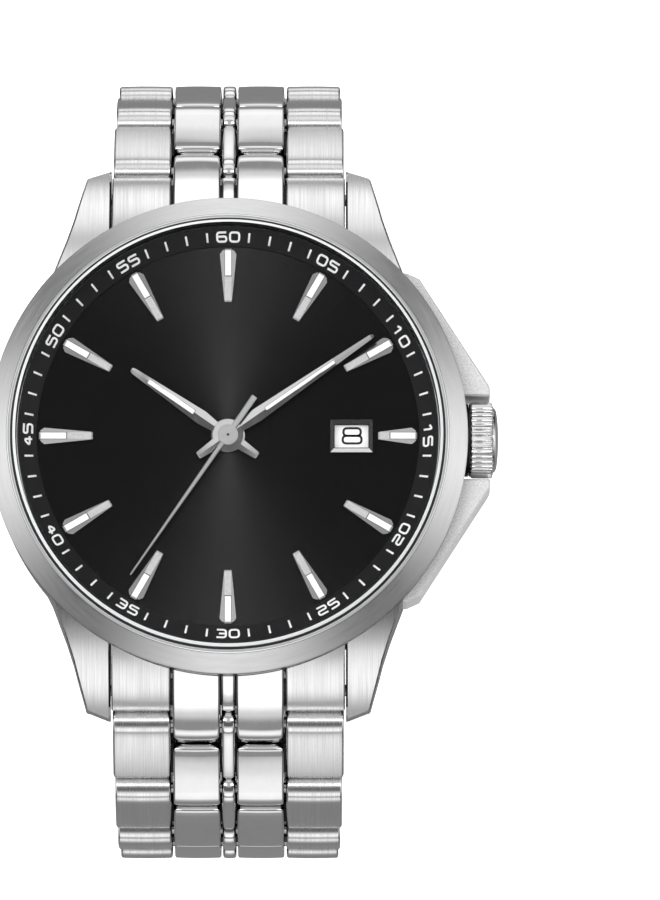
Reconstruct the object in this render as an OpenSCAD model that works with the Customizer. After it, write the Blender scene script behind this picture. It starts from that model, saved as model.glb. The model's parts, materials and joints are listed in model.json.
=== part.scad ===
// Men's automatic wristwatch on a steel bracelet, shown closed as it is worn.
// +Z points out of the dial, +Y to 12 o'clock, +X to 3 o'clock and the crown.
// The origin is the centre of the case back's outer flat face.

/* [Case] */
// Outer diameter of the bezel
bezel_d = 40.8; // [40.6:0.1:41.2]
// Radius of the case barrel under the bezel
case_r = 20.2; // [20.1:0.05:20.3]
// Distance between the inner faces of two lugs
lug_gap = 20; // [20:0.1:20.2]
// Radius of the crystal
crystal_r = 18.3; // [18.0:0.1:18.4]
// Radius of the case back's flat face
back_r = 15.5; // [14:0.1:15.6]

/* [Dial] */
// Height of the dial's face above the case back
dial_z = 8.6; // [8.6:0.1:8.7]
// Radius of the dial plate
dial_r = 16.6; // [16.4:0.1:16.65]
// Inner radius of the chapter ring
chapter_r = 16.25; // [16:0.05:16.3]
// Inner end of an hour marker, from the centre
marker_in = 11.5; // [11:0.1:12]
// Outer end of an hour marker, from the centre
marker_out = 16.07; // [15.5:0.01:16.1]
// Centre of the date window, from the centre
date_x = 10.5; // [10.4:0.1:10.6]

/* [Hands] */
// Length of the minute hand
minute_len = 15.05; // [13:0.05:15.8]
// Length of the hour hand
hour_len = 10; // [8:0.1:11]
// Length of the second hand
second_len = 14.6; // [12:0.1:15.8]
// Minute hand, degrees clockwise from 12
minute_at = 55.2; // [0:0.1:360]
// Hour hand, degrees clockwise from 12
hour_at = 304.6; // [0:0.1:360]
// Second hand, degrees clockwise from 12
second_at = 214.6; // [0:0.1:360]

/* [Crown] */
// Height of the crown's axis above the case back
crown_z = 5.85; // [5.8:0.05:5.9]
// Radius of the knurled crown
crown_r = 3.25; // [3:0.05:3.4]
// Number of ribs on the crown
crown_ribs = 36; // [24:1:40]

/* [Bracelet] */
// Distance between two hinge pins
pitch = 7.2; // [7.1:0.1:7.4]
// Thickness of a link
link_t = 3.2; // [3:0.1:3.3]
// Slope of the first link below the dial plane
first_slope = 46; // [44:1:48]
// Turn from one link to the next
link_turn = 20.8; // [20:0.1:21]
// Half width of the first link
first_half_w = 9.85; // [9.8:0.05:9.9]
// Half width lost from one link to the next
taper = 0.15; // [0:0.01:0.16]
// Radius of a hinge pin
pin_r = 0.55; // [0.4:0.05:0.6]

/* [Clasp] */
// Radius of the clasp's curve through its pivots
clasp_r = 60; // [58:1:64]
// Sideways travel of a push button
button_travel = 0.6; // [0.4:0.1:0.6]

/* [Hidden] */
$fn = 64;
fit_gap = 0.05;             // running clearance of pivots and hinges
links = 6;                  // links on each side of the head
link_r = link_t / 2;        // radius of a link's rounded end
clear_u = link_r + 0.25;    // from a hinge pin to the facing square end

// bracelet widths across, from the middle line
centre_w = 0.57;            // half width of the narrow middle link
mid_in = 0.72;              // polished link, inner side
mid_out = 4.72;             // polished link, outer side
outer_in = 4.93;            // brushed link, inner side

// hinge pin of the first link, and each later pin by its link's slope
pin_start = [23.65, 1.45];
end_slope = 35;             // slope of the end link at its outer end
function slope(i) = first_slope + link_turn * (i - 1);
function pin_at(i) = i == 1 ? pin_start
    : pin_at(i - 1) + pitch * [cos(slope(i - 1)), -sin(slope(i - 1))];
clasp_pin = pin_at(links + 1);
clasp_zc = clasp_pin[1] + sqrt(clasp_r * clasp_r - clasp_pin[0] * clasp_pin[0]);
clasp_a = asin(clasp_pin[0] / clasp_r);

spring_bar = [21.1, 2.9];   // Y and Z of the spring bars
spring_bar_r = 0.65;
spring_tip_r = 0.5;         // their thin ends, in the lugs' holes
tie_r = 0.4;                // cross bar that holds a link's pieces together

// clasp layers, as radii of the clasp's curve
long_in = 58.4;
long_out = 59.2;
short_in = 59.6;
short_out = 60.3;
cover_in = 60.9;
cover_out = 61.9;
fold_a = 12;                // where the two blades are hinged
fold_r = 59.4;
cover_a = -13;              // where the cover is hinged to the short blade
cover_r = 60;
blade_w = 7.4;              // half width of the blades
cover_w = 9.15;             // half width of the cover
wall_w = 8.2;               // half width between the cover's walls
button_r = 60.2;            // buttons' place on the clasp's curve

// going train: [teeth of the wheel, teeth of the driven pinion, module]
barrel_mesh = [78, 12, 0.14];
great_mesh = [64, 8, 0.115];
third_mesh = [60, 8, 0.1];
fourth_mesh = [70, 7, 0.09];
cannon_mesh = [30, 10, 0.16];
hour_mesh = [40, 10, 0.128];
function polar(r, a) = [r * cos(a), r * sin(a)];
function apart(m) = m[2] * (m[0] + m[1]) / 2;
third_dir = 60;
great_dir = 80;
barrel_dir = 196;
escape_dir = 300;
minute_dir = 250;
third_at = polar(apart(third_mesh), third_dir);
great_at = third_at + polar(apart(great_mesh), great_dir);
barrel_at = great_at + polar(apart(barrel_mesh), barrel_dir);
escape_at = polar(apart(fourth_mesh), escape_dir);
pallet_at_p = escape_at + polar(2.4, 215);
balance_at = pallet_at_p + polar(3.7, 230);
minute_wheel_at = polar(apart(cannon_mesh), minute_dir);
arbor_r = 0.12;             // train arbors
bridge_z = 2.95;            // underside of the bridges, towards the back
plate_z = 5.2;              // main plate's face on the train side

STEEL = "silver";
DARK = [0.08, 0.08, 0.09];
BRASS = [0.85, 0.7, 0.4];

// ---------- shared shapes ----------

module tube(r_out, r_in, z0, z1) {
    translate([0, 0, z0]) difference() {
        cylinder(r = r_out, h = z1 - z0);
        translate([0, 0, -1]) cylinder(r = r_in, h = z1 - z0 + 2);
    }
}

module disc(r, z0, z1) {
    translate([0, 0, z0]) cylinder(r = r, h = z1 - z0);
}

// an outline in Y and Z, run along X
module across(x0, x1) {
    translate([x0, 0, 0]) rotate([90, 0, 90]) linear_extrude(x1 - x0) children();
}

// the same on both sides of the middle line
module both_sides() {
    children();
    mirror([1, 0, 0]) children();
}

// a round bar along X through a point in Y and Z
module bar_x(r, x0, x1, at) {
    translate([x0, at[0], at[1]]) rotate([0, 90, 0]) cylinder(r = r, h = x1 - x0);
}

// a straight flat bar between two points of the plan
module bar(p, q, w, h) {
    d = q - p;
    translate([p[0], p[1], 0]) rotate(atan2(d[1], d[0]))
        translate([0, -w / 2, 0]) cube([norm(d), w, h]);
}

// ---------- case ----------

// plan of one lug: from the bezel, down the outer edge, round the tip to the inner face
lug_plan = [[9, 12], [15.9, 12], [15.0, 13.8], [13.8, 17.0], [13.2, 18.85], [12.57, 21.2],
    [12.12, 22.82], [lug_gap / 2, 23.6], [lug_gap / 2, 17], [9, 17]];
lug_top_r = 23;             // the lugs' top is one long curve
lug_top_at = [8.22, -14.05];

module lug() {
    intersection() {
        translate([0, 0, -1]) linear_extrude(12) polygon(lug_plan);
        across(8, 17) intersection() {
            translate(lug_top_at) circle(r = lug_top_r, $fn = 128);
            polygon([[11, 0.9], [18, 0.9], [24, 0.4], [24, 9], [11, 9]]);
        }
    }
}

// the crown tube's flange sits in a spot face on the case's side, below the bezel
flange_r = 3.1;
flange_x = 20;
flange_top = 8.4;

guard_plan = [[14.5, 14.1], [15.2, 14.1], [16.3, 13.6], [22.3, 4.3], [22.3, 3.57],
    [18.5, 3.57], [14.5, 10]];

module case_middle() {
    color(STEEL) difference() {
        union() {
            rotate_extrude($fn = 128) polygon([[16.75, 1.2], [16.95, 1.2], [16.95, 1.7],
                [17.6, 1.7], [17.6, 1.2], [18.1, 1.2], [18.1, 0.9], [case_r - 1.3, 0.9],
                [case_r, 2.2], [case_r, 8.45], [19.6, 8.45], [19.6, 8.95], [17.95, 8.95],
                [17.95, 8.62], [16.75, 8.62]]);
            difference() {
                union() {
                    both_sides() { lug(); mirror([0, 1, 0]) lug(); }
                    translate([0, 0, 2.4]) linear_extrude(5.6) {
                        polygon(guard_plan);
                        mirror([0, 1]) polygon(guard_plan);
                    }
                }
                disc(case_r - 0.6, -1, 12);
                tube(23, case_r - 0.6, 8.4, 12);
            }
        }
        bar_x(1.25, 16, 24, [0, crown_z]);
        bar_x(flange_r + 0.05, flange_x, 24, [0, crown_z]);
        for (s = [-1, 1])
            bar_x(spring_tip_r + 0.1, -12.2, 12.2, [s * spring_bar[0], spring_bar[1]]);
    }
}

module bezel() {
    color(STEEL) rotate_extrude($fn = 128) polygon([[18, 8.95], [19.65, 8.95],
        [19.65, 8.47], [bezel_d / 2, 8.47], [bezel_d / 2, 9.25], [18.7, 10.6],
        [18.55, 10.6], [18.55, 10], [18, 10]]);
}

module crystal() {
    color([0.8, 0.9, 1, 0.3]) rotate_extrude($fn = 128) polygon([[0, 10.05],
        [crystal_r, 10.05], [crystal_r, 10.9], [crystal_r - 0.4, 11.25], [0, 11.25]]);
}

module crystal_gasket() {
    color("gray") tube(18.53, crystal_r + 0.02, 10.02, 10.55);
}

module chapter_ring() {
    color(DARK) rotate_extrude($fn = 128) polygon([[chapter_r, 8.62], [17.9, 8.62],
        [17.9, 9.95], [17.75, 9.95], [chapter_r, 8.8]]);
}

back_notches = 6;           // for the opening tool

module case_back() {
    color(STEEL) difference() {
        rotate_extrude($fn = 128) polygon([[0, 0], [back_r, 0], [back_r + 0.7, 0.35],
            [18, 0.35], [18, 1.18], [16.7, 1.18], [16.7, 2.5], [15.6, 2.5], [15.6, 1],
            [0, 1]]);
        for (i = [0:back_notches - 1])
            rotate(i * 360 / back_notches) translate([16.9, -1.2, 0]) cube([2, 2.4, 0.85]);
    }
}

module case_back_gasket() {
    color("black") tube(17.5, 17.0, 1.2, 1.65);
}

// ---------- dial ----------

dial_feet = [60, 240];      // angles of the two feet under the dial
feet_at = 14.8;             // their distance from the centre
window_size = [2.9, 1.96];  // opening of the date window
frame_size = [3.66, 2.87];  // outside of the frame round it

// a flat block centred on the Z axis
module block(size, z0, z1) {
    translate([-size[0] / 2, -size[1] / 2, z0]) cube([size[0], size[1], z1 - z0]);
}

module dial() {
    color(DARK) difference() {
        union() {
            disc(dial_r, dial_z - 0.4, dial_z);
            for (a = dial_feet) rotate(a) translate([feet_at, 0, 0]) disc(0.4, 6.8, dial_z - 0.2);
        }
        disc(1.15, 5, 10);
        translate([date_x, 0, 0]) block(window_size, 7, 10);
    }
}

marker_h = 0.35;

module marker(r_in) {
    translate([0, 0, dial_z]) linear_extrude(marker_h) polygon([[r_in, -0.315],
        [15.6, -0.71], [marker_out, -0.35], [marker_out, 0.35], [15.6, 0.71], [r_in, 0.315]]);
}

function marker_start(i) = i == 0 ? marker_in + 1.26 : marker_in;

module hour_markers() {
    color("white") for (i = [0:11]) rotate(i * 30) marker(marker_start(i));
}

module marker_lume() {
    color("ivory") for (i = [0:11]) rotate(i * 30)
        translate([13.6, -0.28, dial_z + marker_h]) cube([2.1, 0.56, 0.04]);
}

module date_frame() {
    color("white") translate([date_x, 0, dial_z]) difference() {
        block(frame_size, 0, 0.18);
        block(window_size, -1, 2);
    }
}

module date_disc() {
    color("white") difference() {
        disc(12.45, 7.78, 8.05);
        translate([0, 0, 7]) toothed(31, 0.58, 0.5, 0.6, 3);
    }
}

// ---------- gears ----------

// a wheel with straight-sided teeth; the first tooth points along +X
module toothed(teeth, mod, add, ded, h, tip = 0.22, root = 0.62) {
    rp = mod * teeth / 2;
    step = 360 / teeth;
    corners = [[rp - ded * mod, -root], [rp + add * mod, -tip], [rp + add * mod, tip],
        [rp - ded * mod, root]];
    linear_extrude(h) polygon([for (i = [0:teeth - 1], c = corners)
        polar(c[0], (i + c[1] / 2) * step)]);
}

module wheel_of(m, z0, h, dir, spokes = true) {
    rp = m[2] * m[0] / 2;
    translate([0, 0, z0]) rotate(dir) difference() {
        toothed(m[0], m[2], 0.9, 1, h);
        if (spokes) for (i = [0:3]) rotate(i * 90 + 45)
            translate([rp * 0.55, 0, -1]) cylinder(r = rp * 0.24, h = h + 2);
    }
}

module pinion_of(m, z0, z1, dir) {
    translate([0, 0, z0]) rotate(dir + 180 + 180 / m[1])
        toothed(m[1], m[2], 0.5, 1.2, z1 - z0, 0.2, 0.6);
}

module at(p) {
    translate([p[0], p[1], 0]) children();
}

module barrel() {
    color(BRASS) at(barrel_at) {
        wheel_of(barrel_mesh, 4.3, 0.3, barrel_dir + 180, false);
        disc(5.2, 4.25, 5.95);
        disc(0.5, 3.2, 6.5);
    }
}

module great_wheel() {
    color(BRASS) at(great_at) {
        wheel_of(great_mesh, 3.6, 0.12, great_dir + 180);
        pinion_of(barrel_mesh, 4.2, 4.75, barrel_dir + 180);
        disc(0.3, 3.6, 4.75);
        disc(arbor_r, 3.2, 5.55);
    }
}

module third_wheel() {
    color(BRASS) at(third_at) {
        wheel_of(third_mesh, 3.88, 0.12, third_dir + 180);
        pinion_of(great_mesh, 3.56, 3.88, great_dir + 180);
        disc(arbor_r, 3.2, 5.55);
    }
}

module fourth_wheel() {
    color(BRASS) {
        wheel_of(fourth_mesh, 4.06, 0.1, escape_dir);
        pinion_of(third_mesh, 3.82, 4.06, third_dir + 180);
        disc(0.2, 3.2, 9.6);
    }
}

escape_teeth = 15;

module escape_wheel() {
    color(STEEL) at(escape_at) {
        translate([0, 0, 4.45]) linear_extrude(0.15) polygon([for (i = [0:escape_teeth - 1],
            c = [[1.5, -0.3], [2.0, 0.1], [1.92, 0.22], [1.5, 0.1]])
            polar(c[0], (i + c[1]) * 360 / escape_teeth)]);
        pinion_of(fourth_mesh, 4.02, 4.45, escape_dir);
        disc(arbor_r, 3.2, 5.55);
    }
}

module pallet_fork() {
    z = 4.45;
    to_balance = polar(1, 230);
    color(STEEL) {
        translate([0, 0, z]) {
            at(pallet_at_p) cylinder(r = 0.3, h = 0.15);
            bar(pallet_at_p, pallet_at_p + 2.3 * to_balance, 0.3, 0.15);
            for (a = [185, 245]) {
                bar(pallet_at_p, escape_at + polar(2.42, a), 0.22, 0.15);
                at(escape_at) rotate(a) translate([2.2, -0.13, 0]) cube([0.35, 0.26, 0.15]);
            }
        }
        at(pallet_at_p) disc(arbor_r, 4.3, 5.55);
    }
}

balance_r = 4.2;

module balance_wheel() {
    color(BRASS) at(balance_at) {
        tube(balance_r, balance_r - 0.5, 3.65, 4.15);
        for (i = [0:2]) rotate(i * 120 + 20) translate([0, -0.2, 3.85])
            cube([balance_r - 0.3, 0.4, 0.15]);
        disc(0.5, 3.8, 4.2);
        disc(arbor_r, 3.2, 5.55);
    }
}

spring_turns = 5;
spring_steps = 20;          // points in a turn

function coil_point(k, side) = let (a = k * 360 / spring_steps)
    polar(0.4 + 0.36 * a / 360 + side * 0.035, a);

module hairspring() {
    n = spring_turns * spring_steps;
    color("steelblue") at(balance_at) translate([0, 0, 3.56]) linear_extrude(0.08)
        polygon(concat([for (k = [0:n]) coil_point(k, 1)],
            [for (k = [0:n]) coil_point(n - k, -1)]));
}

// ---------- movement ----------

plate_r = 12.95;
screw_angles = [0, 120, 190];
screws_at = 12.45;          // the bridge screws' distance from the centre
cock_dir = atan2(balance_at[1], balance_at[0]);

module stem_hole(r, x0, x1) {
    bar_x(r, x0, x1, [0, crown_z]);
}

module movement_holder() {
    color("ivory") difference() {
        tube(16.65, plate_r + 0.05, 3.4, dial_z - 0.42);
        stem_hole(0.9, 12, 18);
        for (a = dial_feet) rotate(a) translate([feet_at, 0, 0]) disc(0.45, 6, 9);
    }
}

module main_plate() {
    color(BRASS) difference() {
        union() {
            disc(plate_r, plate_z, 7.7);
            tube(plate_r, 12.2, 3.5, plate_z + 0.1);
            tube(plate_r, 12.55, 7.6, dial_z - 0.42);
        }
        disc(5.9, 7.05, 8);
        disc(0.26, 5, 8);
        at(barrel_at) disc(5.8, 5, 6.05);
        at(barrel_at) disc(0.55, 5, 6.6);
        for (p = [great_at, third_at, escape_at, pallet_at_p, balance_at])
            at(p) disc(arbor_r + fit_gap, 5, 5.65);
        stem_hole(0.65, 4.5, 14);
        translate([7.6, -4, 6.45]) cube([4.4, 5.2, 3]);
        for (a = concat(screw_angles, [cock_dir])) rotate(a) translate([screws_at, 0, 0])
            disc(0.22, 3, 5.1);
    }
    color(BRASS) tube(0.38, 0.26, 7.05, 8.5);
    color(BRASS) at(minute_wheel_at) disc(0.25, 7.05, 7.98);
}

// the part of the bridge layer that the balance cock fills
module cock_outline(grow) {
    intersection() {
        circle(r = plate_r - 0.05 + grow);
        union() {
            translate(balance_at) circle(r = 1.5 + grow);
            translate(balance_at) rotate(cock_dir) translate([0, -1.5 - grow])
                square([6, 3 + 2 * grow]);
        }
    }
}

module screw_hole() {
    disc(0.22, 2, 4);
    disc(0.47, 2, 3.22);
}

module train_bridge() {
    color("silver") difference() {
        disc(plate_r - 0.05, bridge_z, 3.5);
        at(balance_at) disc(balance_r + 0.4, 2, 4);
        translate([0, 0, 2]) linear_extrude(2) cock_outline(0.1);
        for (p = [great_at, third_at, escape_at, [0, 0]]) at(p) disc(0.25, 3.1, 4);
        at(barrel_at) disc(0.55, 3.1, 4);
        for (a = screw_angles) rotate(a) translate([screws_at, 0, 0]) screw_hole();
    }
}

module balance_cock() {
    color("silver") difference() {
        translate([0, 0, bridge_z]) linear_extrude(0.55) cock_outline(0);
        at(balance_at) disc(arbor_r + fit_gap, 3.1, 4);
        rotate(cock_dir) translate([screws_at, 0, 0]) screw_hole();
    }
}

module bridge_screws() {
    color("steelblue") for (a = concat(screw_angles, [cock_dir])) rotate(a)
        translate([screws_at, 0, 0]) {
            disc(0.44, 2.97, 3.2);
            disc(0.2, 3.1, 5);
        }
}

module cannon_pinion() {
    color(STEEL) difference() {
        union() {
            pinion_of(cannon_mesh, 7.1, 7.65, minute_dir + 180);
            disc(0.6, 7.1, 9.44);
        }
        disc(0.42, 6, 10);
    }
}

module minute_wheel() {
    color(BRASS) at(minute_wheel_at) difference() {
        union() {
            wheel_of(cannon_mesh, 7.3, 0.15, minute_dir + 180, false);
            pinion_of(hour_mesh, 7.45, 7.95, minute_dir);
        }
        disc(0.3, 7, 9);
    }
}

module hour_wheel() {
    color(BRASS) difference() {
        union() {
            wheel_of(hour_mesh, 7.72, 0.2, minute_dir, false);
            disc(1.0, 7.72, 9.12);
        }
        disc(0.68, 7, 10);
    }
}

module rotor() {
    color("silver") difference() {
        union() {
            intersection() {
                union() {
                    disc(12.4, 1.55, 1.9);
                    tube(12.4, 10.2, 1.3, 2.75);
                }
                translate([-13, -13, 0]) cube([26, 13, 4]);
            }
            disc(2.8, 1.55, 1.9);
        }
        disc(1.65, 1, 4);
        for (a = [-135, -90, -45]) rotate(a) translate([6.2, 0, 1]) cylinder(r = 1.5, h = 2);
    }
}

module rotor_bearing() {
    color(STEEL) {
        disc(1.6, 1.6, bridge_z);
        disc(2.1, 1.25, 1.5);
        disc(1.2, 1.25, bridge_z);
    }
}

// ---------- hands ----------

function hand_dir(clockwise) = 90 - clockwise;

// outline as [distance along the hand, half width], mirrored to the other edge
module hand(points, boss, bore, z0, h) {
    n = len(points);
    difference() {
        translate([0, 0, z0]) linear_extrude(h) {
            polygon(concat(points, [for (i = [0:n - 1]) [points[n - 1 - i][0],
                -points[n - 1 - i][1]]]));
            circle(r = boss);
        }
        disc(bore, z0 - 1, z0 + h + 1);
    }
}

module hour_hand() {
    color("white") rotate(hand_dir(hour_at)) hand([[-3.1, 0.32], [0, 0.42], [2.7, 0.62],
        [hour_len, 0.25]], 1.45, 1.02, 8.9, 0.22);
}

module minute_hand() {
    color("white") rotate(hand_dir(minute_at)) hand([[-3.1, 0.32], [0, 0.4], [3, 0.585],
        [minute_len, 0.175]], 1.3, 0.62, 9.22, 0.22);
}

module second_hand() {
    color("white") rotate(hand_dir(second_at)) {
        hand([[-4, 0.27], [0, 0.27], [second_len, 0.1]], 0.88, 0.2, 9.54, 0.14);
        disc(0.55, 9.68, 9.82);
    }
}

// ---------- crown ----------

module stem_groove() {
    translate([8.65, 0, crown_z]) rotate([0, 90, 0]) tube(2, 0.35, 0, 0.7);
}

module winding_stem() {
    color(STEEL) difference() {
        stem_hole(0.55, 4.7, 22.65);
        stem_groove();
    }
}

module setting_lever() {
    color(STEEL) {
        translate([8.2, -3.4, 6.6]) cube([1.6, 4.2, 0.4]);
        translate([9, 0, 0]) disc(0.25, 6.25, 6.7);
    }
}

module crown_tube() {
    color(STEEL) translate([0, 0, crown_z]) rotate([0, 90, 0]) {
        tube(1.25, 0.75, 16.7, 22);
        intersection() {
            tube(flange_r, 1.2, flange_x, flange_x + 0.45);
            translate([crown_z - flange_top, -4, flange_x]) cube([7, 8, 1]);
        }
    }
}

module crown() {
    color(STEEL) translate([20.6, 0, crown_z]) rotate([0, 90, 0]) difference() {
        union() {
            toothed(crown_ribs, 2 * crown_r / crown_ribs, 0, 1.2, 1.9, 0.5, 0.9);
            disc(2.7, 1.8, 2.4);
        }
        disc(1.75, -1, 1.7);
        disc(0.57, 1, 2.07);
    }
}

module crown_gasket() {
    color("black") translate([21, 0, crown_z]) rotate([0, 90, 0]) tube(1.73, 1.27, 0, 0.5);
}

// ---------- bracelet ----------

// a rectangle of a link's outline, along u and through its thickness
module slab(u0, u1) {
    translate([u0, -link_r]) square([u1 - u0, link_t]);
}

module round_end(u) {
    translate([u, 0]) circle(r = link_r);
}

module pin_bore(u, r) {
    translate([u, 0]) circle(r = r);
}

// one link of the 12 o'clock side, lying along +Y from its own pin at the origin
module link_solids(half_w) {
    bore = pin_r + 0.01;
    loose = pin_r + fit_gap + 0.02;
    both_sides() across(outer_in, half_w) difference() {
        union() { round_end(0); slab(0, pitch - clear_u); }
        pin_bore(0, bore);
    }
    across(-centre_w, centre_w) difference() {
        union() { round_end(0); slab(0, pitch - clear_u); }
        pin_bore(0, bore);
    }
    both_sides() across(mid_in, mid_out) difference() {
        union() { round_end(pitch); slab(clear_u, pitch); }
        pin_bore(pitch, loose);
    }
    bar_x(pin_r, 0.3 - half_w, half_w - 0.3, [0, 0]);
}

// the blind bore of the cross bar inside a link, which holds its five pieces together
module link_tie_bore(half_w) {
    bar_x(tie_r + 0.01, 0.58 - half_w, half_w - 0.58, [pitch / 2, 0]);
}

module link_tie(half_w) {
    bar_x(tie_r, 0.6 - half_w, half_w - 0.6, [pitch / 2, 0]);
}

module link_12(i) {
    p = pin_at(i);
    half_w = first_half_w - taper * (i - 1);
    color(STEEL) translate([0, p[0], p[1]]) rotate([-slope(i), 0, 0]) {
        difference() {
            link_solids(half_w);
            link_tie_bore(half_w);
        }
        link_tie(half_w);
        if (i == links) bar_x(pin_r, 0.02 - mid_out, mid_out - 0.02, [pitch, 0]);
    }
}

// the 6 o'clock side mirrors the other; its last pin belongs to the clasp blade
module link_6(i) {
    p = pin_at(i);
    half_w = first_half_w - taper * (i - 1);
    color(STEEL) mirror([0, 1, 0]) translate([0, p[0], p[1]]) rotate([-slope(i), 0, 0]) {
        difference() {
            link_solids(half_w);
            link_tie_bore(half_w);
        }
        link_tie(half_w);
    }
}

end_top_r = 16;             // the end link's top is one curve
end_top_at = [12.34, -8.07];

module end_outline(reach) {
    n = [sin(end_slope), cos(end_slope)];
    d = [cos(end_slope), -sin(end_slope)];
    q = pin_start - clear_u * d;
    intersection() {
        translate(end_top_at) circle(r = end_top_r, $fn = 128);
        polygon([[16, 1.2], [q[0] - link_r * n[0], q[1] - link_r * n[1]],
            [q[0] + link_r * n[0], q[1] + link_r * n[1]], [22, 9], [16, 9]]);
    }
    if (reach) {
        round_end_at(pin_start);
        polygon([pin_start - link_r * n, pin_start + link_r * n, q + link_r * n - 0.3 * d,
            q - link_r * n - 0.3 * d]);
    }
}

module round_end_at(p) {
    translate(p) circle(r = link_r);
}

module end_link_12() {
    side = lug_gap / 2 - 0.05;
    color(STEEL) difference() {
        union() {
            across(-side, side) end_outline(false);
            both_sides() across(mid_in, mid_out) end_outline(true);
        }
        disc(case_r + 0.02, -2, 12);
        bar_x(spring_bar_r + 0.02, -12, 12, spring_bar);
        bar_x(pin_r + fit_gap + 0.02, -12, 12, pin_start);
    }
}

module end_link_6() {
    mirror([0, 1, 0]) end_link_12();
}

module spring_bars() {
    side = lug_gap / 2;
    color(STEEL) for (s = [-1, 1]) {
        at_bar = [s * spring_bar[0], spring_bar[1]];
        bar_x(spring_bar_r, 0.1 - side, side - 0.1, at_bar);
        bar_x(spring_tip_r, -side - 1.4, side + 1.4, at_bar);
    }
}

// ---------- clasp ----------

// a plate bent to the clasp's curve; angles run from the middle towards 12 o'clock
module bent(r_in, r_out, a0, a1, x0, x1) {
    translate([0, 0, clasp_zc]) rotate([0, 90, 0])
        rotate_extrude(angle = a1 - a0, start = a0, $fn = 256)
            translate([r_in, x0]) square([r_out - r_in, x1 - x0]);
}

// Y and Z of a point on the clasp's curve
function on_curve(r, a) = [r * sin(a), clasp_zc - r * cos(a)];
function arc_deg(length) = length * 180 / (PI * clasp_r);

hinge_r = 0.85;             // knuckles between the blades
ear_r = 1.35;               // ears at the two bracelet pivots
ear_x = outer_in + 0.07;    // the ears' inner faces
blade_pin_r = 0.4;
cover_pin_r = 0.35;

module clasp_blade_long() {
    notch = arc_deg(hinge_r + 0.15);
    color(STEEL) difference() {
        union() {
            bent(long_in, long_out, arc_deg(clear_u + 0.1) - clasp_a, fold_a - notch,
                -blade_w, blade_w);
            both_sides() {
                bent(long_in, long_out, fold_a - notch - 1, fold_a, 3.6, blade_w);
                bar_x(hinge_r, 3.6, blade_w, on_curve(fold_r, fold_a));
                bent(long_in, clasp_r, -clasp_a, arc_deg(clear_u + 0.6) - clasp_a, ear_x,
                    blade_w);
                bar_x(ear_r, ear_x, blade_w, on_curve(clasp_r, -clasp_a));
            }
        }
        bar_x(blade_pin_r + 0.01, -8, 8, on_curve(fold_r, fold_a));
        bar_x(pin_r + 0.01, -12, 12, on_curve(clasp_r, -clasp_a));
    }
    color(STEEL) bar_x(pin_r, -blade_w, blade_w, on_curve(clasp_r, -clasp_a));
}

module clasp_blade_short() {
    notch = arc_deg(hinge_r + 0.15);
    color(STEEL) difference() {
        union() {
            bent(short_in, short_out, cover_a, fold_a - notch, -blade_w, blade_w);
            bent(short_in, short_out, fold_a - notch - 1, fold_a, -3.4, 3.4);
            bar_x(hinge_r, -3.4, 3.4, on_curve(fold_r, fold_a));
            bar_x(0.7, -8, 8, on_curve(cover_r, cover_a));
        }
        bar_x(blade_pin_r + fit_gap, -8, 8, on_curve(fold_r, fold_a));
        bar_x(cover_pin_r + fit_gap, -12, 12, on_curve(cover_r, cover_a));
    }
}

module blade_pin() {
    color(STEEL) bar_x(blade_pin_r, -blade_w, blade_w, on_curve(fold_r, fold_a));
}

module cover_pin() {
    color(STEEL) bar_x(cover_pin_r, 0.1 - cover_w, cover_w - 0.1, on_curve(cover_r, cover_a));
}

module clasp_cover() {
    far = clasp_a - arc_deg(clear_u + 0.1);
    near = cover_a - arc_deg(1.3);
    color(STEEL) difference() {
        union() {
            bent(cover_in, cover_out, near, far, -cover_w, cover_w);
            both_sides() {
                bent(59, cover_out, near, far, wall_w, cover_w);
                bent(58.4, cover_out, -2.4, 2.4, wall_w, cover_w);
                bent(clasp_r, cover_out, far - 1, clasp_a - arc_deg(0.4), ear_x, cover_w);
                bar_x(ear_r, ear_x, cover_w, on_curve(clasp_r, clasp_a));
            }
        }
        bar_x(cover_pin_r + 0.01, -12, 12, on_curve(cover_r, cover_a));
        bar_x(pin_r + fit_gap, -cover_w + 0.8, cover_w - 0.8, on_curve(clasp_r, clasp_a));
        bar_x(1.15, -12, 12, on_curve(button_r, 0));
    }
}

// a push button: cap outside the wall, flange inside that keeps it in
module button() {
    at_z = on_curve(button_r, 0);
    bar_x(1.1, wall_w - 0.1, cover_w + button_travel + 0.15, at_z);
    bar_x(0.6, wall_w - 0.15, wall_w, at_z);
}

module clasp_button_left() {
    color(STEEL) mirror([1, 0, 0]) button();
}

module clasp_button_right() {
    color(STEEL) button();
}

case_middle();
bezel();
crystal();
crystal_gasket();
chapter_ring();
dial();
hour_markers();
marker_lume();
date_frame();
date_disc();
movement_holder();
main_plate();
train_bridge();
bridge_screws();
barrel();
great_wheel();
third_wheel();
fourth_wheel();
escape_wheel();
pallet_fork();
balance_wheel();
hairspring();
balance_cock();
cannon_pinion();
minute_wheel();
hour_wheel();
rotor();
rotor_bearing();
hour_hand();
minute_hand();
second_hand();
winding_stem();
setting_lever();
crown();
crown_tube();
crown_gasket();
case_back();
case_back_gasket();
end_link_12();
end_link_6();
spring_bars();
for (i = [1:links]) {
    link_12(i);
    link_6(i);
}
clasp_cover();
clasp_blade_short();
clasp_blade_long();
cover_pin();
blade_pin();
clasp_button_left();
clasp_button_right();
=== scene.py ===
"""Looks of a men's automatic wristwatch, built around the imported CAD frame."""

import json
from math import cos, degrees, pi, radians, sin, sqrt, tan

import bmesh
import bpy
from mathutils import Matrix, Vector


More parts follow.
